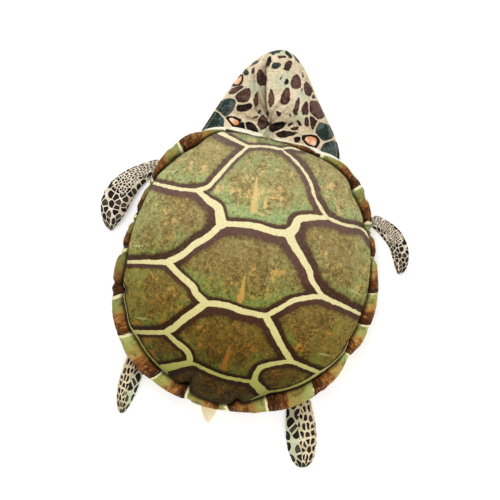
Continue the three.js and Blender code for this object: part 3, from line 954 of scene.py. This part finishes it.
hood_along = np.linspace(0, 0.985, HOOD_ROWS)
column_place = np.linspace(-1, 1, HOOD_COLUMNS)
hood_across = np.sin(math.pi / 2 * column_place) * 0.35 + column_place * 0.65
neck_angle = NECK_ANGLES[0] + (NECK_ANGLES[1] - NECK_ANGLES[0]) * (hood_across + 1) / 2
neck_radius = np.interp(np.degrees(neck_angle) % 360, column_degrees, outline, period=360) - NECK_TUCKED
neck = neck_radius[:, None] * np.stack([np.sin(neck_angle), np.cos(neck_angle)], -1)
left_edge = edge_curve((tuple(neck[0]), *HOOD_LEFT_EDGE, HOOD_TIP))
right_edge = edge_curve((tuple(neck[-1]), *HOOD_RIGHT_EDGE, HOOD_TIP))
across_share = ((hood_across + 1) / 2)[None, :, None]
hood_plan = left_edge[:, None] + (right_edge - left_edge)[:, None] * across_share
neck_bow = neck - (neck[0] + (neck[-1] - neck[0]) * across_share[0])
hood_plan = hood_plan + neck_bow[None] * ((1 - hood_along) ** 2)[:, None, None]

row_along = hood_along[:, None]
arch = (1 - np.abs(hood_across[None]) ** 2.2) ** 0.8
risen = 0.048 + 0.036 * smoothstep(0, 0.36, row_along)
crown = risen + (0.010 - risen) * smoothstep(0.36, 1, row_along)
hood_x, hood_y = hood_plan[..., 0].copy(), hood_plan[..., 1].copy()
crest_x = np.interp(hood_y, [p[1] for p in FOLD_CREST], [p[0] for p in FOLD_CREST])
valley_x = np.interp(hood_y, [p[1] for p in FOLD_VALLEY], [p[0] for p in FOLD_VALLEY])
down_flap = np.clip((hood_x - crest_x) / (valley_x - crest_x), 0, 1)
beyond_valley = np.maximum(0, hood_x - valley_x)
steep_side = np.exp(-((beyond_valley / 0.007) ** 1.8))
fold_length = smoothstep(0.345, 0.385, hood_y) * (1 - smoothstep(0.455, 0.508, hood_y))
fold = FOLD_DEPTH * fold_length * np.where(hood_x < valley_x, down_flap, steep_side)
crest = 0.006 * fold_length * np.exp(-np.abs(hood_x - crest_x) / 0.014)
tuck = 0.014 * np.exp(-(((row_along - 0.17) / 0.07) ** 2)) * arch
hood_height = crown * arch - fold + crest - tuck
for start, end, depth, half_width in HOOD_CREASES:
    away, share = distance_to_line(hood_plan, start, end)
    hood_height = hood_height - depth * np.exp(-((away / half_width) ** 2)) * (1 - 0.5 * share)
overhang = 0.009 * fold_length * np.exp(-(((beyond_valley - 0.012) / 0.010) ** 2)) * (hood_x > valley_x)
from_pinch = hood_plan - np.array(HOOD_PINCH)
pinch_reach = np.linalg.norm(from_pinch, axis=-1)
pinch_angle = np.arctan2(from_pinch[..., 0], from_pinch[..., 1])
hood_height = hood_height + 0.0036 * np.sin(11 * pinch_angle + 0.7) * np.exp(-pinch_reach / 0.045) * arch
slump = np.sin(47 * hood_x + 1) * np.cos(39 * hood_y) + np.sin(83 * hood_x - 61 * hood_y)
hood_height = np.maximum(0, hood_height + 0.0013 * slump * arch)
hood_plan[..., 0] -= overhang

hood_top = np.concatenate([hood_plan, (HOOD_LIFT + hood_height + HOOD_CLOTH)[..., None]], -1)
hood_lining = np.concatenate([hood_plan, (HOOD_LIFT + hood_height)[..., None]], -1)
hood_strips = [np.concatenate([hood_top[row], hood_lining[row, ::-1]]) for row in range(HOOD_ROWS)]
hood = sew_rings("hood_plush", hood_strips)
closing = bmesh.new()
closing.from_mesh(hood.data)
bmesh.ops.holes_fill(closing, edges=[edge for edge in closing.edges if edge.is_boundary], sides=0)
bmesh.ops.recalc_face_normals(closing, faces=closing.faces)
closing.to_mesh(hood.data)
closing.free()

# Spots of the print, in millimetres: x, y, half length, half width, and lean to the right in degrees.
HOOD_SPOTS = {
    "brown": (
        (-116, 412, 17, 7, 58), (-18, 457, 5, 2, 18), (-26, 513, 10, 3, 76), (-30, 404, 18, 6, -12),
        (-32, 372, 5, 3, -12), (-38, 349, 16, 11, -7), (-51, 372, 6, 3, 18), (-58, 357, 7, 2, 68),
        (-64, 394, 17, 5, -7), (-64, 454, 19, 10, -22), (-7, 495, 15, 7, 13), (-86, 465, 8, 3, 3),
        (-94, 399, 18, 14, 28), (19, 458, 17, 11, -4), (2, 416, 19, 9, 3), (23, 374, 6, 2, -42),
        (31, 481, 7, 2, -22), (32, 399, 20, 5, 0), (36, 442, 6, 2, 3), (39, 350, 9, 4, 63),
        (50, 450, 17, 10, -22), (53, 399, 15, 7, -2), (63, 370, 10, 5, -22), (66, 437, 8, 4, -12),
        (78, 375, 17, 8, -27), (80, 406, 22, 17, -37),
    ),
    "black": (
        (-2, 346, 20, 9, 58), (-3, 451, 7, 4, -2), (-54, 494, 14, 5, -2), (-62, 330, 16, 10, -52),
        (-7, 374, 7, 4, -62), (-84, 329, 10, 7, -12), (-86, 374, 18, 8, 73), (22, 333, 23, 7, 73),
        (27, 358, 7, 3, 48), (46, 364, 7, 3, -52), (50, 326, 8, 6, 48),
    ),
    "teal": (
        (-11, 522, 11, 5, -52), (-131, 369, 23, 17, 48), (-154, 326, 28, 25, 18), (-35, 487, 11, 7, 68),
        (-43, 524, 16, 5, 62), (108, 360, 23, 17, -72), (136, 316, 26, 25, -12), (-103, 460, 10, 5, -25),
        (6, 519, 12, 3, -50), (-84, 488, 12, 3, 42),
    ),
    "peach": ((-106, 338, 11, 5, -67), (-116, 437, 10, 6, 23), (81, 331, 13, 8, -82)),
}
# Soft mint patches of the ground, in metres: middle and radius.
MINT_PATCHES = (
    ((-0.027, 0.324), 0.016), ((-0.074, 0.423), 0.018), ((-0.008, 0.450), 0.022), ((0.041, 0.376), 0.012),
    ((0.042, 0.429), 0.014), ((-0.026, 0.522), 0.010),
)
NET_LINE = 2.6
hood_xy = vertex_points(hood)[:, :2] * 1000
spot_gaps, spot_colours = [], []
for colour, spots in HOOD_SPOTS.items():
    for x, y, half_length, half_width, lean in spots:
        axis = np.array([math.sin(math.radians(lean)), math.cos(math.radians(lean))])
        lengthwise = (hood_xy - (x, y)) @ axis / (1.12 * half_length)
        sideways = (hood_xy - (x, y)) @ np.array([axis[1], -axis[0]]) / (1.15 * half_width)
        sideways = sideways / (1 - 0.3 * np.clip(lengthwise, -1.2, 1.2))
        reach = (np.abs(lengthwise) ** 2.2 + np.abs(sideways) ** 2.2) ** (1 / 2.2)
        spot_gaps.append((reach - 1) * half_width)
        spot_colours.append(colour)
spot_gaps = np.array(spot_gaps)
lowest_two = np.sort(spot_gaps, 0)[:2]
for colour in HOOD_SPOTS:
    own = spot_gaps[[name == colour for name in spot_colours]]
    other = np.where(own == lowest_two[0], lowest_two[1], lowest_two[0])
    give_attribute(hood, colour + "_gap", np.maximum(own, NET_LINE - (other - own)).min(0))

mint = np.zeros(len(hood_xy))
for middle, radius in MINT_PATCHES:
    mint = np.maximum(mint, np.exp(-((np.linalg.norm(hood_xy / 1000 - middle, axis=1) / radius) ** 2)))
give_attribute(hood, "mint", mint)
# Painted shade: how much the ground is darkened in the fold's valley and along the creases.
fold_shade = np.exp(-((np.abs(hood_x - valley_x - 0.002) / 0.004) ** 2)) * fold_length
for start, end, depth, _ in HOOD_CREASES:
    away, share = distance_to_line(np.stack([hood_x, hood_y], -1), start, end)
    fold_shade = np.maximum(fold_shade, 55 * depth * np.exp(-((away / 0.0022) ** 2)) * (1 - 0.6 * share))
fold_shade_on_both_sides = np.concatenate([np.clip(fold_shade, 0, 1), 0 * fold_shade], 1)
give_attribute(hood, "fold", fold_shade_on_both_sides.ravel())


def hood_skin_print(tree, where):
    """Cream turtle skin with brown and black spots, slate plates at the sides, peach and mint patches, and
    painted shade in its folds.
    """
    wander = times(tree, minus(tree, blotches(tree, where, 120, 3.0), 0.5), 5.5)
    small = blotches(tree, where, 150, 3.0, 0.6)
    patch = blotches(tree, where, 30, 3.0, 0.6)
    ground = lay_colour(tree, ease(tree, small, 0.42, 0.72), srgb("dccbaa"), srgb("ae9c7a"))
    ground = lay_colour(tree, times(tree, ease(tree, patch, 0.48, 0.62), 0.6), ground, srgb("f0d9bf"))
    ground = lay_colour(tree, times(tree, attribute(tree, "mint"), 0.75), ground, srgb("b9c7a8"))
    for colour, deep, light, soft in (
        ("teal", "26322f", "56635d", 0.9),
        ("brown", "402a25", "6b4d42", 0.8),
        ("black", "17110f", "392a26", 0.8),
    ):
        gap = plus(tree, attribute(tree, colour + "_gap"), wander)
        mottle = ease(tree, blend_noise(tree, (small, 1.0), (patch, 1.4)), -0.15, 0.2)
        fill = lay_colour(tree, mottle, srgb(deep), srgb(light))
        fill = lay_colour(tree, times(tree, ease(tree, gap, -3.5, -0.5), 0.5), fill, srgb("140e0c"))
        ground = lay_colour(tree, ease(tree, gap, soft, -soft), ground, fill)
    peach = plus(tree, attribute(tree, "peach_gap"), wander)
    ground = lay_colour(tree, ease(tree, peach, 5.6, 4.2), ground, srgb("1a1614"))
    mottle = ease(tree, blend_noise(tree, (patch, 2.2), (small, 0.6)), -0.2, 0.3)
    flush = lay_colour(tree, mottle, srgb("e39560"), srgb("fadcc2"))
    ground = lay_colour(tree, ease(tree, peach, 0.8, -0.6), ground, flush)
    # Painted shade in the fold and the creases.
    return lay_colour(tree, times(tree, attribute(tree, "fold"), 0.85), ground, srgb("241b15"))


hood.data.materials.append(plush_material("turtle_skin_plush", hood_skin_print, grain=0.5))
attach(hood, "root")
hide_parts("hood")


# Flippers: four flat stuffed paddles of printed plush, each narrow at its root and broad towards its tip.
# Each is sewn into the seam under the rim at its root, and the front right one lies turned on its edge.
def vector_step(tree, operation, *values):
    return add_node(tree, "ShaderNodeVectorMath", dict(enumerate(values)), operation=operation).outputs[0]


def between(tree, share, start, end):
    """A point, or a number, part of the way from start to end."""
    flat = start.type == "VALUE" if isinstance(start, bpy.types.NodeSocket) else not hasattr(start, "__len__")
    made = add_node(tree, "ShaderNodeMix", {0: share}, data_type="FLOAT" if flat else "VECTOR")
    for socket, value in zip(made.inputs[2:4] if flat else made.inputs[4:6], (start, end)):
        if isinstance(value, bpy.types.NodeSocket):
            tree.links.new(value, socket)
        else:
            socket.default_value = value
    return made.outputs[0] if flat else made.outputs[1]


def stuffed_paddle_tree():
    """A stuffed paddle: a ball drawn out along a bent line, flattened, and puckered along its side seam."""
    tree = bpy.data.node_groups.new("stuffed_paddle", "GeometryNodeTree")
    tree.interface.new_socket("Geometry", in_out="OUTPUT", socket_type="NodeSocketGeometry")
    for name, kind in (
        ("Root", "Vector"), ("Bend", "Vector"), ("Tip", "Vector"), ("Root Width", "Float"),
        ("Width", "Float"), ("Thickness", "Float"), ("Widest", "Float"), ("Taper", "Float"),
        ("Point", "Float"), ("Roll", "Float"), ("Pucker", "Float"), ("Leading Side", "Float"),
        ("Seed", "Float"), ("Cloth", "Material"),
    ):
        tree.interface.new_socket(name, in_out="INPUT", socket_type="NodeSocket" + kind)
    size = tree.nodes.new("NodeGroupInput").outputs
    ball = add_node(tree, "GeometryNodeMeshUVSphere", {"Segments": 48, "Rings": 96, "Radius": 1.0})
    position = tree.nodes.new("GeometryNodeInputPosition").outputs[0]
    spot = add_node(tree, "ShaderNodeSeparateXYZ", {0: position}).outputs
    level = calculate(tree, "MAXIMUM", -1.0, calculate(tree, "MINIMUM", 1.0, spot["Z"]))
    along = calculate(tree, "DIVIDE", calculate(tree, "ARCCOSINE", level), math.pi)
    turn = calculate(tree, "ARCTAN2", spot["Y"], spot["X"])
    across = calculate(tree, "COSINE", turn)
    upward = calculate(tree, "SINE", turn)
    geometry = ball.outputs["Mesh"]
    leading = times(tree, across, size["Leading Side"])
    for name, value in (("along", along), ("leading", leading)):
        feeds = {"Geometry": geometry, "Name": name, "Value": value}
        geometry = add_node(tree, "GeometryNodeStoreNamedAttribute", feeds, data_type="FLOAT").outputs[0]
    first = between(tree, along, size["Root"], size["Bend"])
    second = between(tree, along, size["Bend"], size["Tip"])
    middle = between(tree, along, first, second)
    ahead = vector_step(tree, "NORMALIZE", vector_step(tree, "SUBTRACT", second, first))
    sideways = vector_step(tree, "NORMALIZE", vector_step(tree, "CROSS_PRODUCT", ahead, (0, 0, 1)))
    grown = ease(tree, along, 0.0, size["Widest"])
    taper = calculate(tree, "POWER", ease_line(tree, along, size["Widest"], 1.0), size["Taper"])
    blunt = calculate(tree, "POWER", minus(tree, 1.0, taper), size["Point"])
    closed = calculate(tree, "SQRT", ease(tree, along, 0.0, 0.06))
    width = times(tree, between(tree, grown, size["Root Width"], size["Width"]), 0.5)
    half = times(tree, times(tree, width, blunt), closed)
    fat = times(tree, between(tree, grown, 0.004, size["Thickness"]), 0.5)
    deep = times(tree, times(tree, fat, calculate(tree, "POWER", blunt, 0.6)), closed)
    feeds = {0: times(tree, along, 16.0), 1: across, 2: size["Seed"]}
    swirl = add_node(tree, "ShaderNodeCombineXYZ", feeds)
    lump = blotches(tree, swirl.outputs[0], 1.3, 3.0)
    edge_pull = calculate(tree, "POWER", calculate(tree, "ABSOLUTE", across), 4.0)
    pucker = times(tree, minus(tree, lump, 0.5), size["Pucker"])
    half = times(tree, half, plus(tree, 1.0, times(tree, pucker, edge_pull)))
    deep = times(tree, deep, plus(tree, 1.0, times(tree, pucker, 1.5)))
    tilt = times(tree, size["Roll"], grown)
    cosine = calculate(tree, "COSINE", tilt)
    sine = calculate(tree, "SINE", tilt)
    out = times(tree, half, across)
    rise = times(tree, deep, upward)
    flat = minus(tree, times(tree, out, cosine), times(tree, rise, sine))
    lift = plus(tree, times(tree, out, sine), times(tree, rise, cosine))
    low = calculate(tree, "SQRT", plus(tree,
        calculate(tree, "POWER", times(tree, half, calculate(tree, "ABSOLUTE", sine)), 2.0),
        calculate(tree, "POWER", times(tree, deep, cosine), 2.0)))
    height = plus(tree, plus(tree, lift, low), 0.0006)
    shift = add_node(tree, "ShaderNodeVectorMath", {0: sideways, "Scale": flat}, operation="SCALE").outputs[0]
    up = add_node(tree, "ShaderNodeCombineXYZ", {2: height}).outputs[0]
    place = vector_step(tree, "ADD", vector_step(tree, "ADD", middle, shift), up)
    geometry = add_node(tree, "GeometryNodeSetPosition", {"Geometry": geometry, "Position": place}).outputs[0]
    geometry = add_node(tree, "GeometryNodeSetShadeSmooth", {"Geometry": geometry}).outputs[0]
    geometry = add_node(tree, "GeometryNodeRealizeInstances", {"Geometry": geometry}).outputs[0]
    feeds = {"Geometry": geometry, "Material": size["Cloth"]}
    geometry = add_node(tree, "GeometryNodeSetMaterial", feeds).outputs[0]
    tree.links.new(geometry, tree.nodes.new("NodeGroupOutput").inputs[0])
    return tree


def grow(name, tree, base_mesh=None, **sizes):
    """Runs a Geometry Nodes tree with its named sizes, and keeps the result as a plain mesh."""
    maker = bpy.data.objects.new(name + "_maker", base_mesh or bpy.data.meshes.new(name + "_base"))
    bpy.context.scene.collection.objects.link(maker)
    modifier = maker.modifiers.new("Grow", "NODES")
    modifier.node_group = tree
    for socket in tree.interface.items_tree:
        key = socket.name.lower().replace(" ", "_")
        if socket.in_out == "INPUT" and key in sizes:
            modifier[socket.identifier] = sizes[key]
    grown = maker.evaluated_get(bpy.context.evaluated_depsgraph_get())
    mesh = bpy.data.meshes.new_from_object(grown)
    bpy.data.objects.remove(maker)
    mesh.name = name
    made = bpy.data.objects.new(name, mesh)
    bpy.context.scene.collection.objects.link(made)
    closing = bmesh.new()
    closing.from_mesh(mesh)
    bmesh.ops.recalc_face_normals(closing, faces=closing.faces)
    closing.to_mesh(mesh)
    closing.free()
    return made


def scales(tree, along, leading, cells_along, cells_across, size):
    """Rounded scales of one size in millimetres: how far inside a scale a place is, and its shade."""
    slanted = plus(tree, along, times(tree, leading, 0.02))
    place = add_node(tree, "ShaderNodeCombineXYZ", {
        0: times(tree, slanted, cells_along),
        1: times(tree, leading, cells_across),
    }).outputs[0]
    feeds = {"Vector": place, "Scale": 1.0, "Randomness": 0.75}
    net = add_node(tree, "ShaderNodeTexVoronoi", feeds, feature="DISTANCE_TO_EDGE", voronoi_dimensions="2D")
    cell = add_node(tree, "ShaderNodeTexVoronoi", feeds, voronoi_dimensions="2D")
    shade = add_node(tree, "ShaderNodeSeparateColor", {0: cell.outputs["Color"]}).outputs[0]
    round_gap = minus(tree, 0.62, cell.outputs["Distance"])
    return times(tree, calculate(tree, "MINIMUM", net.outputs["Distance"], round_gap), size), shade


def scale_print(large, small, net, dots_to, dots_side, ground_light, ground_dark, ground_edge):
    """Dark rounded scales on a cream net, large at the tip and the trailing edge and small dots between."""
    def draw(tree, where):
        along = attribute(tree, "along")
        leading = attribute(tree, "leading")
        ragged = blend_noise(tree, (blotches(tree, where, 110, 3.0), 1.0))
        large_gap, large_shade = scales(tree, along, leading, *large)
        small_gap, small_shade = scales(tree, along, leading, *small)
        ragged_along = plus(tree, along, times(tree, ragged, 0.3))
        ragged_side = plus(tree, leading, ragged)
        dots = times(tree, ease(tree, ragged_side, dots_side, dots_side + 0.06),
                         ease(tree, ragged_side, 0.93, 0.88))
        dots = times(tree, dots, ease(tree, ragged_along, dots_to + 0.03, dots_to))
        scale_gap = between(tree, dots, large_gap, small_gap)
        shade = between(tree, dots, large_shade, small_shade)
        scale_gap = plus(tree, scale_gap, times(tree, ragged, 1.6))
        scale_gap = plus(tree, scale_gap, times(tree, ease(tree, along, 0.8, 0.97), 0.5 * net))
        rind = shades(tree, shade, (0.0, "0c0908"), (0.6, "15100e"), (1.0, "261d18"))
        heart = shades(tree, shade, (0.0, "1f1916"), (0.6, "362c27"), (1.0, "5b4c43"))
        scale = lay_colour(tree, ease(tree, scale_gap, net + 0.7, net + 3.6), rind, heart)
        patch = blotches(tree, where, 45, 3.0)
        ground = lay_colour(tree, ease(tree, patch, 0.4, 0.62), srgb(ground_light), srgb(ground_dark))
        trailing = ease(tree, ragged_side, dots_side + 0.3, dots_side - 0.4)
        ground = lay_colour(tree, times(tree, trailing, 0.7), ground, srgb(ground_edge))
        return lay_colour(tree, ease(tree, scale_gap, net, net + 0.6), ground, scale)
    return draw


paddle = stuffed_paddle_tree()
front_scales = scale_print((12.7, 2.25, 15), (27, 4.7, 7), 0.75, 0.55, -0.40, "efe3cf", "d8cab0", "e0d2b8")
rear_scales = scale_print((6.5, 1.9, 14), (8.5, 3.0, 9.5), 1.05, 0.9, -0.15, "ead8b4", "cdbb95", "b4c3a2")
front_flipper_plush = plush_material("front_flipper_plush", front_scales, grain=0.5)
rear_flipper_plush = plush_material("rear_flipper_plush", rear_scales, grain=0.5)
# Each flipper: root, bend and tip on the floor, root width, width, thickness, where it is widest, the power
# and point of its taper, its roll, and its leading side.
FLIPPERS = {
    "front_flipper_left": (
        (-0.248, 0.206), (-0.366, 0.146), (-0.341, 0.024), 0.034, 0.069, 0.026, 0.65, 2.0, 0.75, 0.0, 1),
    "front_flipper_right": (
        (0.262, 0.180), (0.354, 0.157), (0.357, 0.065), 0.030, 0.050, 0.020, 0.5, 2.4, 0.5, -0.7, -1),
    "rear_flipper_left": (
        (-0.212, -0.251), (-0.226, -0.330), (-0.226, -0.399), 0.050, 0.050, 0.022, 0.35, 1.9, 0.55, 0.0, 1),
    "rear_flipper_right": (
        (0.182, -0.276), (0.206, -0.352), (0.227, -0.436), 0.058, 0.073, 0.024, 0.5, 2.4, 0.5, 0.0, -1),
}
for number, (node, sizes) in enumerate(FLIPPERS.items()):
    root, bend, tip, root_width, width, thickness, widest, taper, point, roll, leading = sizes
    flipper = grow(
        node + "_plush", paddle, root=(*root, 0), bend=(*bend, 0), tip=(*tip, 0), root_width=root_width,
        width=width, thickness=thickness, widest=widest, taper=taper, point=point, roll=roll, pucker=0.16,
        leading_side=float(leading), seed=2.0 + 3 * number,
        cloth=front_flipper_plush if node.startswith("front") else rear_flipper_plush,
    )
    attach(flipper, "root")
    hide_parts(node)


# Tail: a short plain tab of cream felt, sewn into the rear seam under the rim.
# It is stuffed only a little and lies flat on the floor.
def felt_print(tree, where):
    """Pale cream felt, with a little painted shade where it goes under the rim."""
    along = attribute(tree, "along")
    return lay_colour(tree, ease(tree, along, 0.75, 0.1), srgb("fff1c8"), srgb("ffe7b0"))


tail = grow(
    "tail_plush", paddle, root=(-0.022, -0.316, 0), bend=(-0.022, -0.348, 0), tip=(-0.0177, -0.381, 0),
    root_width=0.046, width=0.046, thickness=0.012, widest=0.1, taper=1.5, point=0.75, roll=0.0, pucker=0.08,
    seed=31.0, cloth=plush_material("cream_felt", felt_print, grain=0.25),
)
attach(tail, "root")
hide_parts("tail")


# Stitches: heavy cream thread along the neck opening's lip, the hood's hem and the belly seam.
# Each stitch is a short thread lying on the cloth, and they follow one another along the sewn line.
def thread_stitches_tree():
    """Short rounded stitches laid one after another along every path of the mesh it is given."""
    tree = bpy.data.node_groups.new("thread_stitches", "GeometryNodeTree")
    tree.interface.new_socket("Geometry", in_out="INPUT", socket_type="NodeSocketGeometry")
    for name, kind in (
        ("Pitch", "Float"), ("Length", "Float"), ("Thickness", "Float"), ("Thread", "Material"),
    ):
        tree.interface.new_socket(name, in_out="INPUT", socket_type="NodeSocket" + kind)
    tree.interface.new_socket("Geometry", in_out="OUTPUT", socket_type="NodeSocketGeometry")
    size = tree.nodes.new("NodeGroupInput").outputs
    path = add_node(tree, "GeometryNodeMeshToCurve", {"Mesh": size["Geometry"]}).outputs[0]
    feeds = {"Curve": path, "Length": size["Pitch"]}
    places = add_node(tree, "GeometryNodeResampleCurve", feeds, mode="LENGTH").outputs[0]
    feeds = {"Segments": 8, "Rings": 6, "Radius": 0.5}
    bead = add_node(tree, "GeometryNodeMeshUVSphere", feeds).outputs["Mesh"]
    bead = add_node(tree, "GeometryNodeSetShadeSmooth", {"Geometry": bead}).outputs[0]
    tangent = tree.nodes.new("GeometryNodeInputTangent").outputs[0]
    turned = add_node(tree, "FunctionNodeAlignRotationToVector", {"Vector": tangent}, axis="X").outputs[0]
    feeds = {0: size["Length"], 1: size["Thickness"], 2: size["Thickness"]}
    scale = add_node(tree, "ShaderNodeCombineXYZ", feeds)
    feeds = {"Points": places, "Instance": bead, "Rotation": turned, "Scale": scale.outputs[0]}
    geometry = add_node(tree, "GeometryNodeInstanceOnPoints", feeds).outputs[0]
    geometry = add_node(tree, "GeometryNodeRealizeInstances", {"Geometry": geometry}).outputs[0]
    feeds = {"Geometry": geometry, "Material": size["Thread"]}
    geometry = add_node(tree, "GeometryNodeSetMaterial", feeds).outputs[0]
    tree.links.new(geometry, tree.nodes.new("NodeGroupOutput").inputs[0])
    return tree


def thread_print(tree, where):
    """Twisted cream thread, with painted shade between its strands."""
    feeds = {"Vector": where, "Scale": 420, "Distortion": 1.5}
    twist = add_node(tree, "ShaderNodeTexWave", feeds).outputs["Fac"]
    return lay_colour(tree, twist, srgb("b9a576"), srgb("e8dbb2"))


LIP_MIDDLE = 358
LIP_REACH = 30
STITCH_LIFT = 0.0003
BELLY_STITCH_HEIGHT = 0.0032
band_stack = np.array(band_rings)
band_radius = np.linalg.norm(band_stack[..., :2], axis=-1)
lip_line = []
for column in np.flatnonzero(np.abs(degrees_apart(column_degrees, LIP_MIDDLE)) < LIP_REACH):
    widest = band_radius[:, column].argmax() + 1
    gap = 0.5 * np.interp(column_degrees[column], *zip(*LIP_WIDTH), period=360) + 0.001
    radius = outline[column] - gap
    height = np.interp(radius, band_radius[:widest, column], band_stack[:widest, column, 2]) + STITCH_LIFT
    turn = column_angle[column]
    place = (radius * math.sin(turn), radius * math.cos(turn), height)
    lip_line.append((degrees_apart(column_degrees[column], LIP_MIDDLE), place))
lip_line = [place for _, place in sorted(lip_line)]
belly_line = on_plan(outline - BELLY_SEAM_INSET + 0.004, BELLY_STITCH_HEIGHT)
hood_hems = [hood_top[6:-4, column] + (0, 0, STITCH_LIFT) for column in (8, -9)]
path_points, path_edges = [], []
for line in (lip_line, [*belly_line, belly_line[0]], *hood_hems):
    first = len(path_points)
    path_points += [tuple(place) for place in line]
    path_edges += [(first + k, first + k + 1) for k in range(len(line) - 1)]
sewn_lines = bpy.data.meshes.new("sewn_lines")
sewn_lines.from_pydata(path_points, path_edges, [])
stitches = grow(
    "thread_stitches", thread_stitches_tree(), base_mesh=sewn_lines, pitch=0.0052, length=0.0038,
    thickness=0.0011, thread=plush_material("cream_thread", thread_print, grain=0.2),
)
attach(stitches, "root")


# Studio: a pale floor that glows a little, a broad soft light from the head's side, another from behind,
# and a white sky. The camera looks straight down, turned a little, as the photograph does.
floor_mesh = bpy.data.meshes.new("floor")
floor_mesh.from_pydata([(-6, -6, 0), (6, -6, 0), (6, 6, 0), (-6, 6, 0)], [], [(0, 1, 2, 3)])
floor = bpy.data.objects.new("floor", floor_mesh)
bpy.context.scene.collection.objects.link(floor)
floor_paint = bpy.data.materials.new("pale_floor")
floor_paint.use_nodes = True
floor_shader = floor_paint.node_tree.nodes["Principled BSDF"]
floor_shader.inputs["Base Color"].default_value = (0.93, 0.93, 0.93, 1)
floor_shader.inputs["Roughness"].default_value = 0.9
floor_shader.inputs["Emission Color"].default_value = (1, 1, 1, 1)
floor_shader.inputs["Emission Strength"].default_value = 0.26
floor_mesh.materials.append(floor_paint)
floor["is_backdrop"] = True

world = bpy.data.worlds.new("white_sky")
bpy.context.scene.world = world
world.use_nodes = True
world.node_tree.nodes["Background"].inputs["Color"].default_value = (1, 1, 1, 1)
world.node_tree.nodes["Background"].inputs["Strength"].default_value = 0.66
for name, place, aim, side, watts in (
    ("key_light", (-0.8, 1.7, 2.2), (0, 0.1, 0.05), 1.3, 37),
    ("fill_light", (0.9, -2.0, 1.8), (0, 0, 0.05), 2.0, 29),
):
    lamp = bpy.data.lights.new(name, "AREA")
    lamp.energy = watts
    lamp.size = side
    holder = bpy.data.objects.new(name, lamp)
    holder.location = place
    holder.rotation_euler = (Vector(aim) - Vector(place)).to_track_quat("-Z", "Y").to_euler()
    bpy.context.scene.collection.objects.link(holder)
bpy.context.scene.view_settings.view_transform = "Standard"

CAMERA_HEIGHT = 2.833
camera_data = bpy.data.cameras.new("camera")
camera_data.lens = 85
camera_data.sensor_width = 36
camera = bpy.data.objects.new("camera", camera_data)
camera.location = (-0.005, 0.048, CAMERA_HEIGHT)
camera.rotation_euler = (0, 0, math.radians(12))
bpy.context.scene.collection.objects.link(camera)
bpy.context.scene.camera = camera

visual_low, visual_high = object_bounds()
sizes = {"cad": [list(cad_low), list(cad_high)], "visual": [list(visual_low), list(visual_high)]}
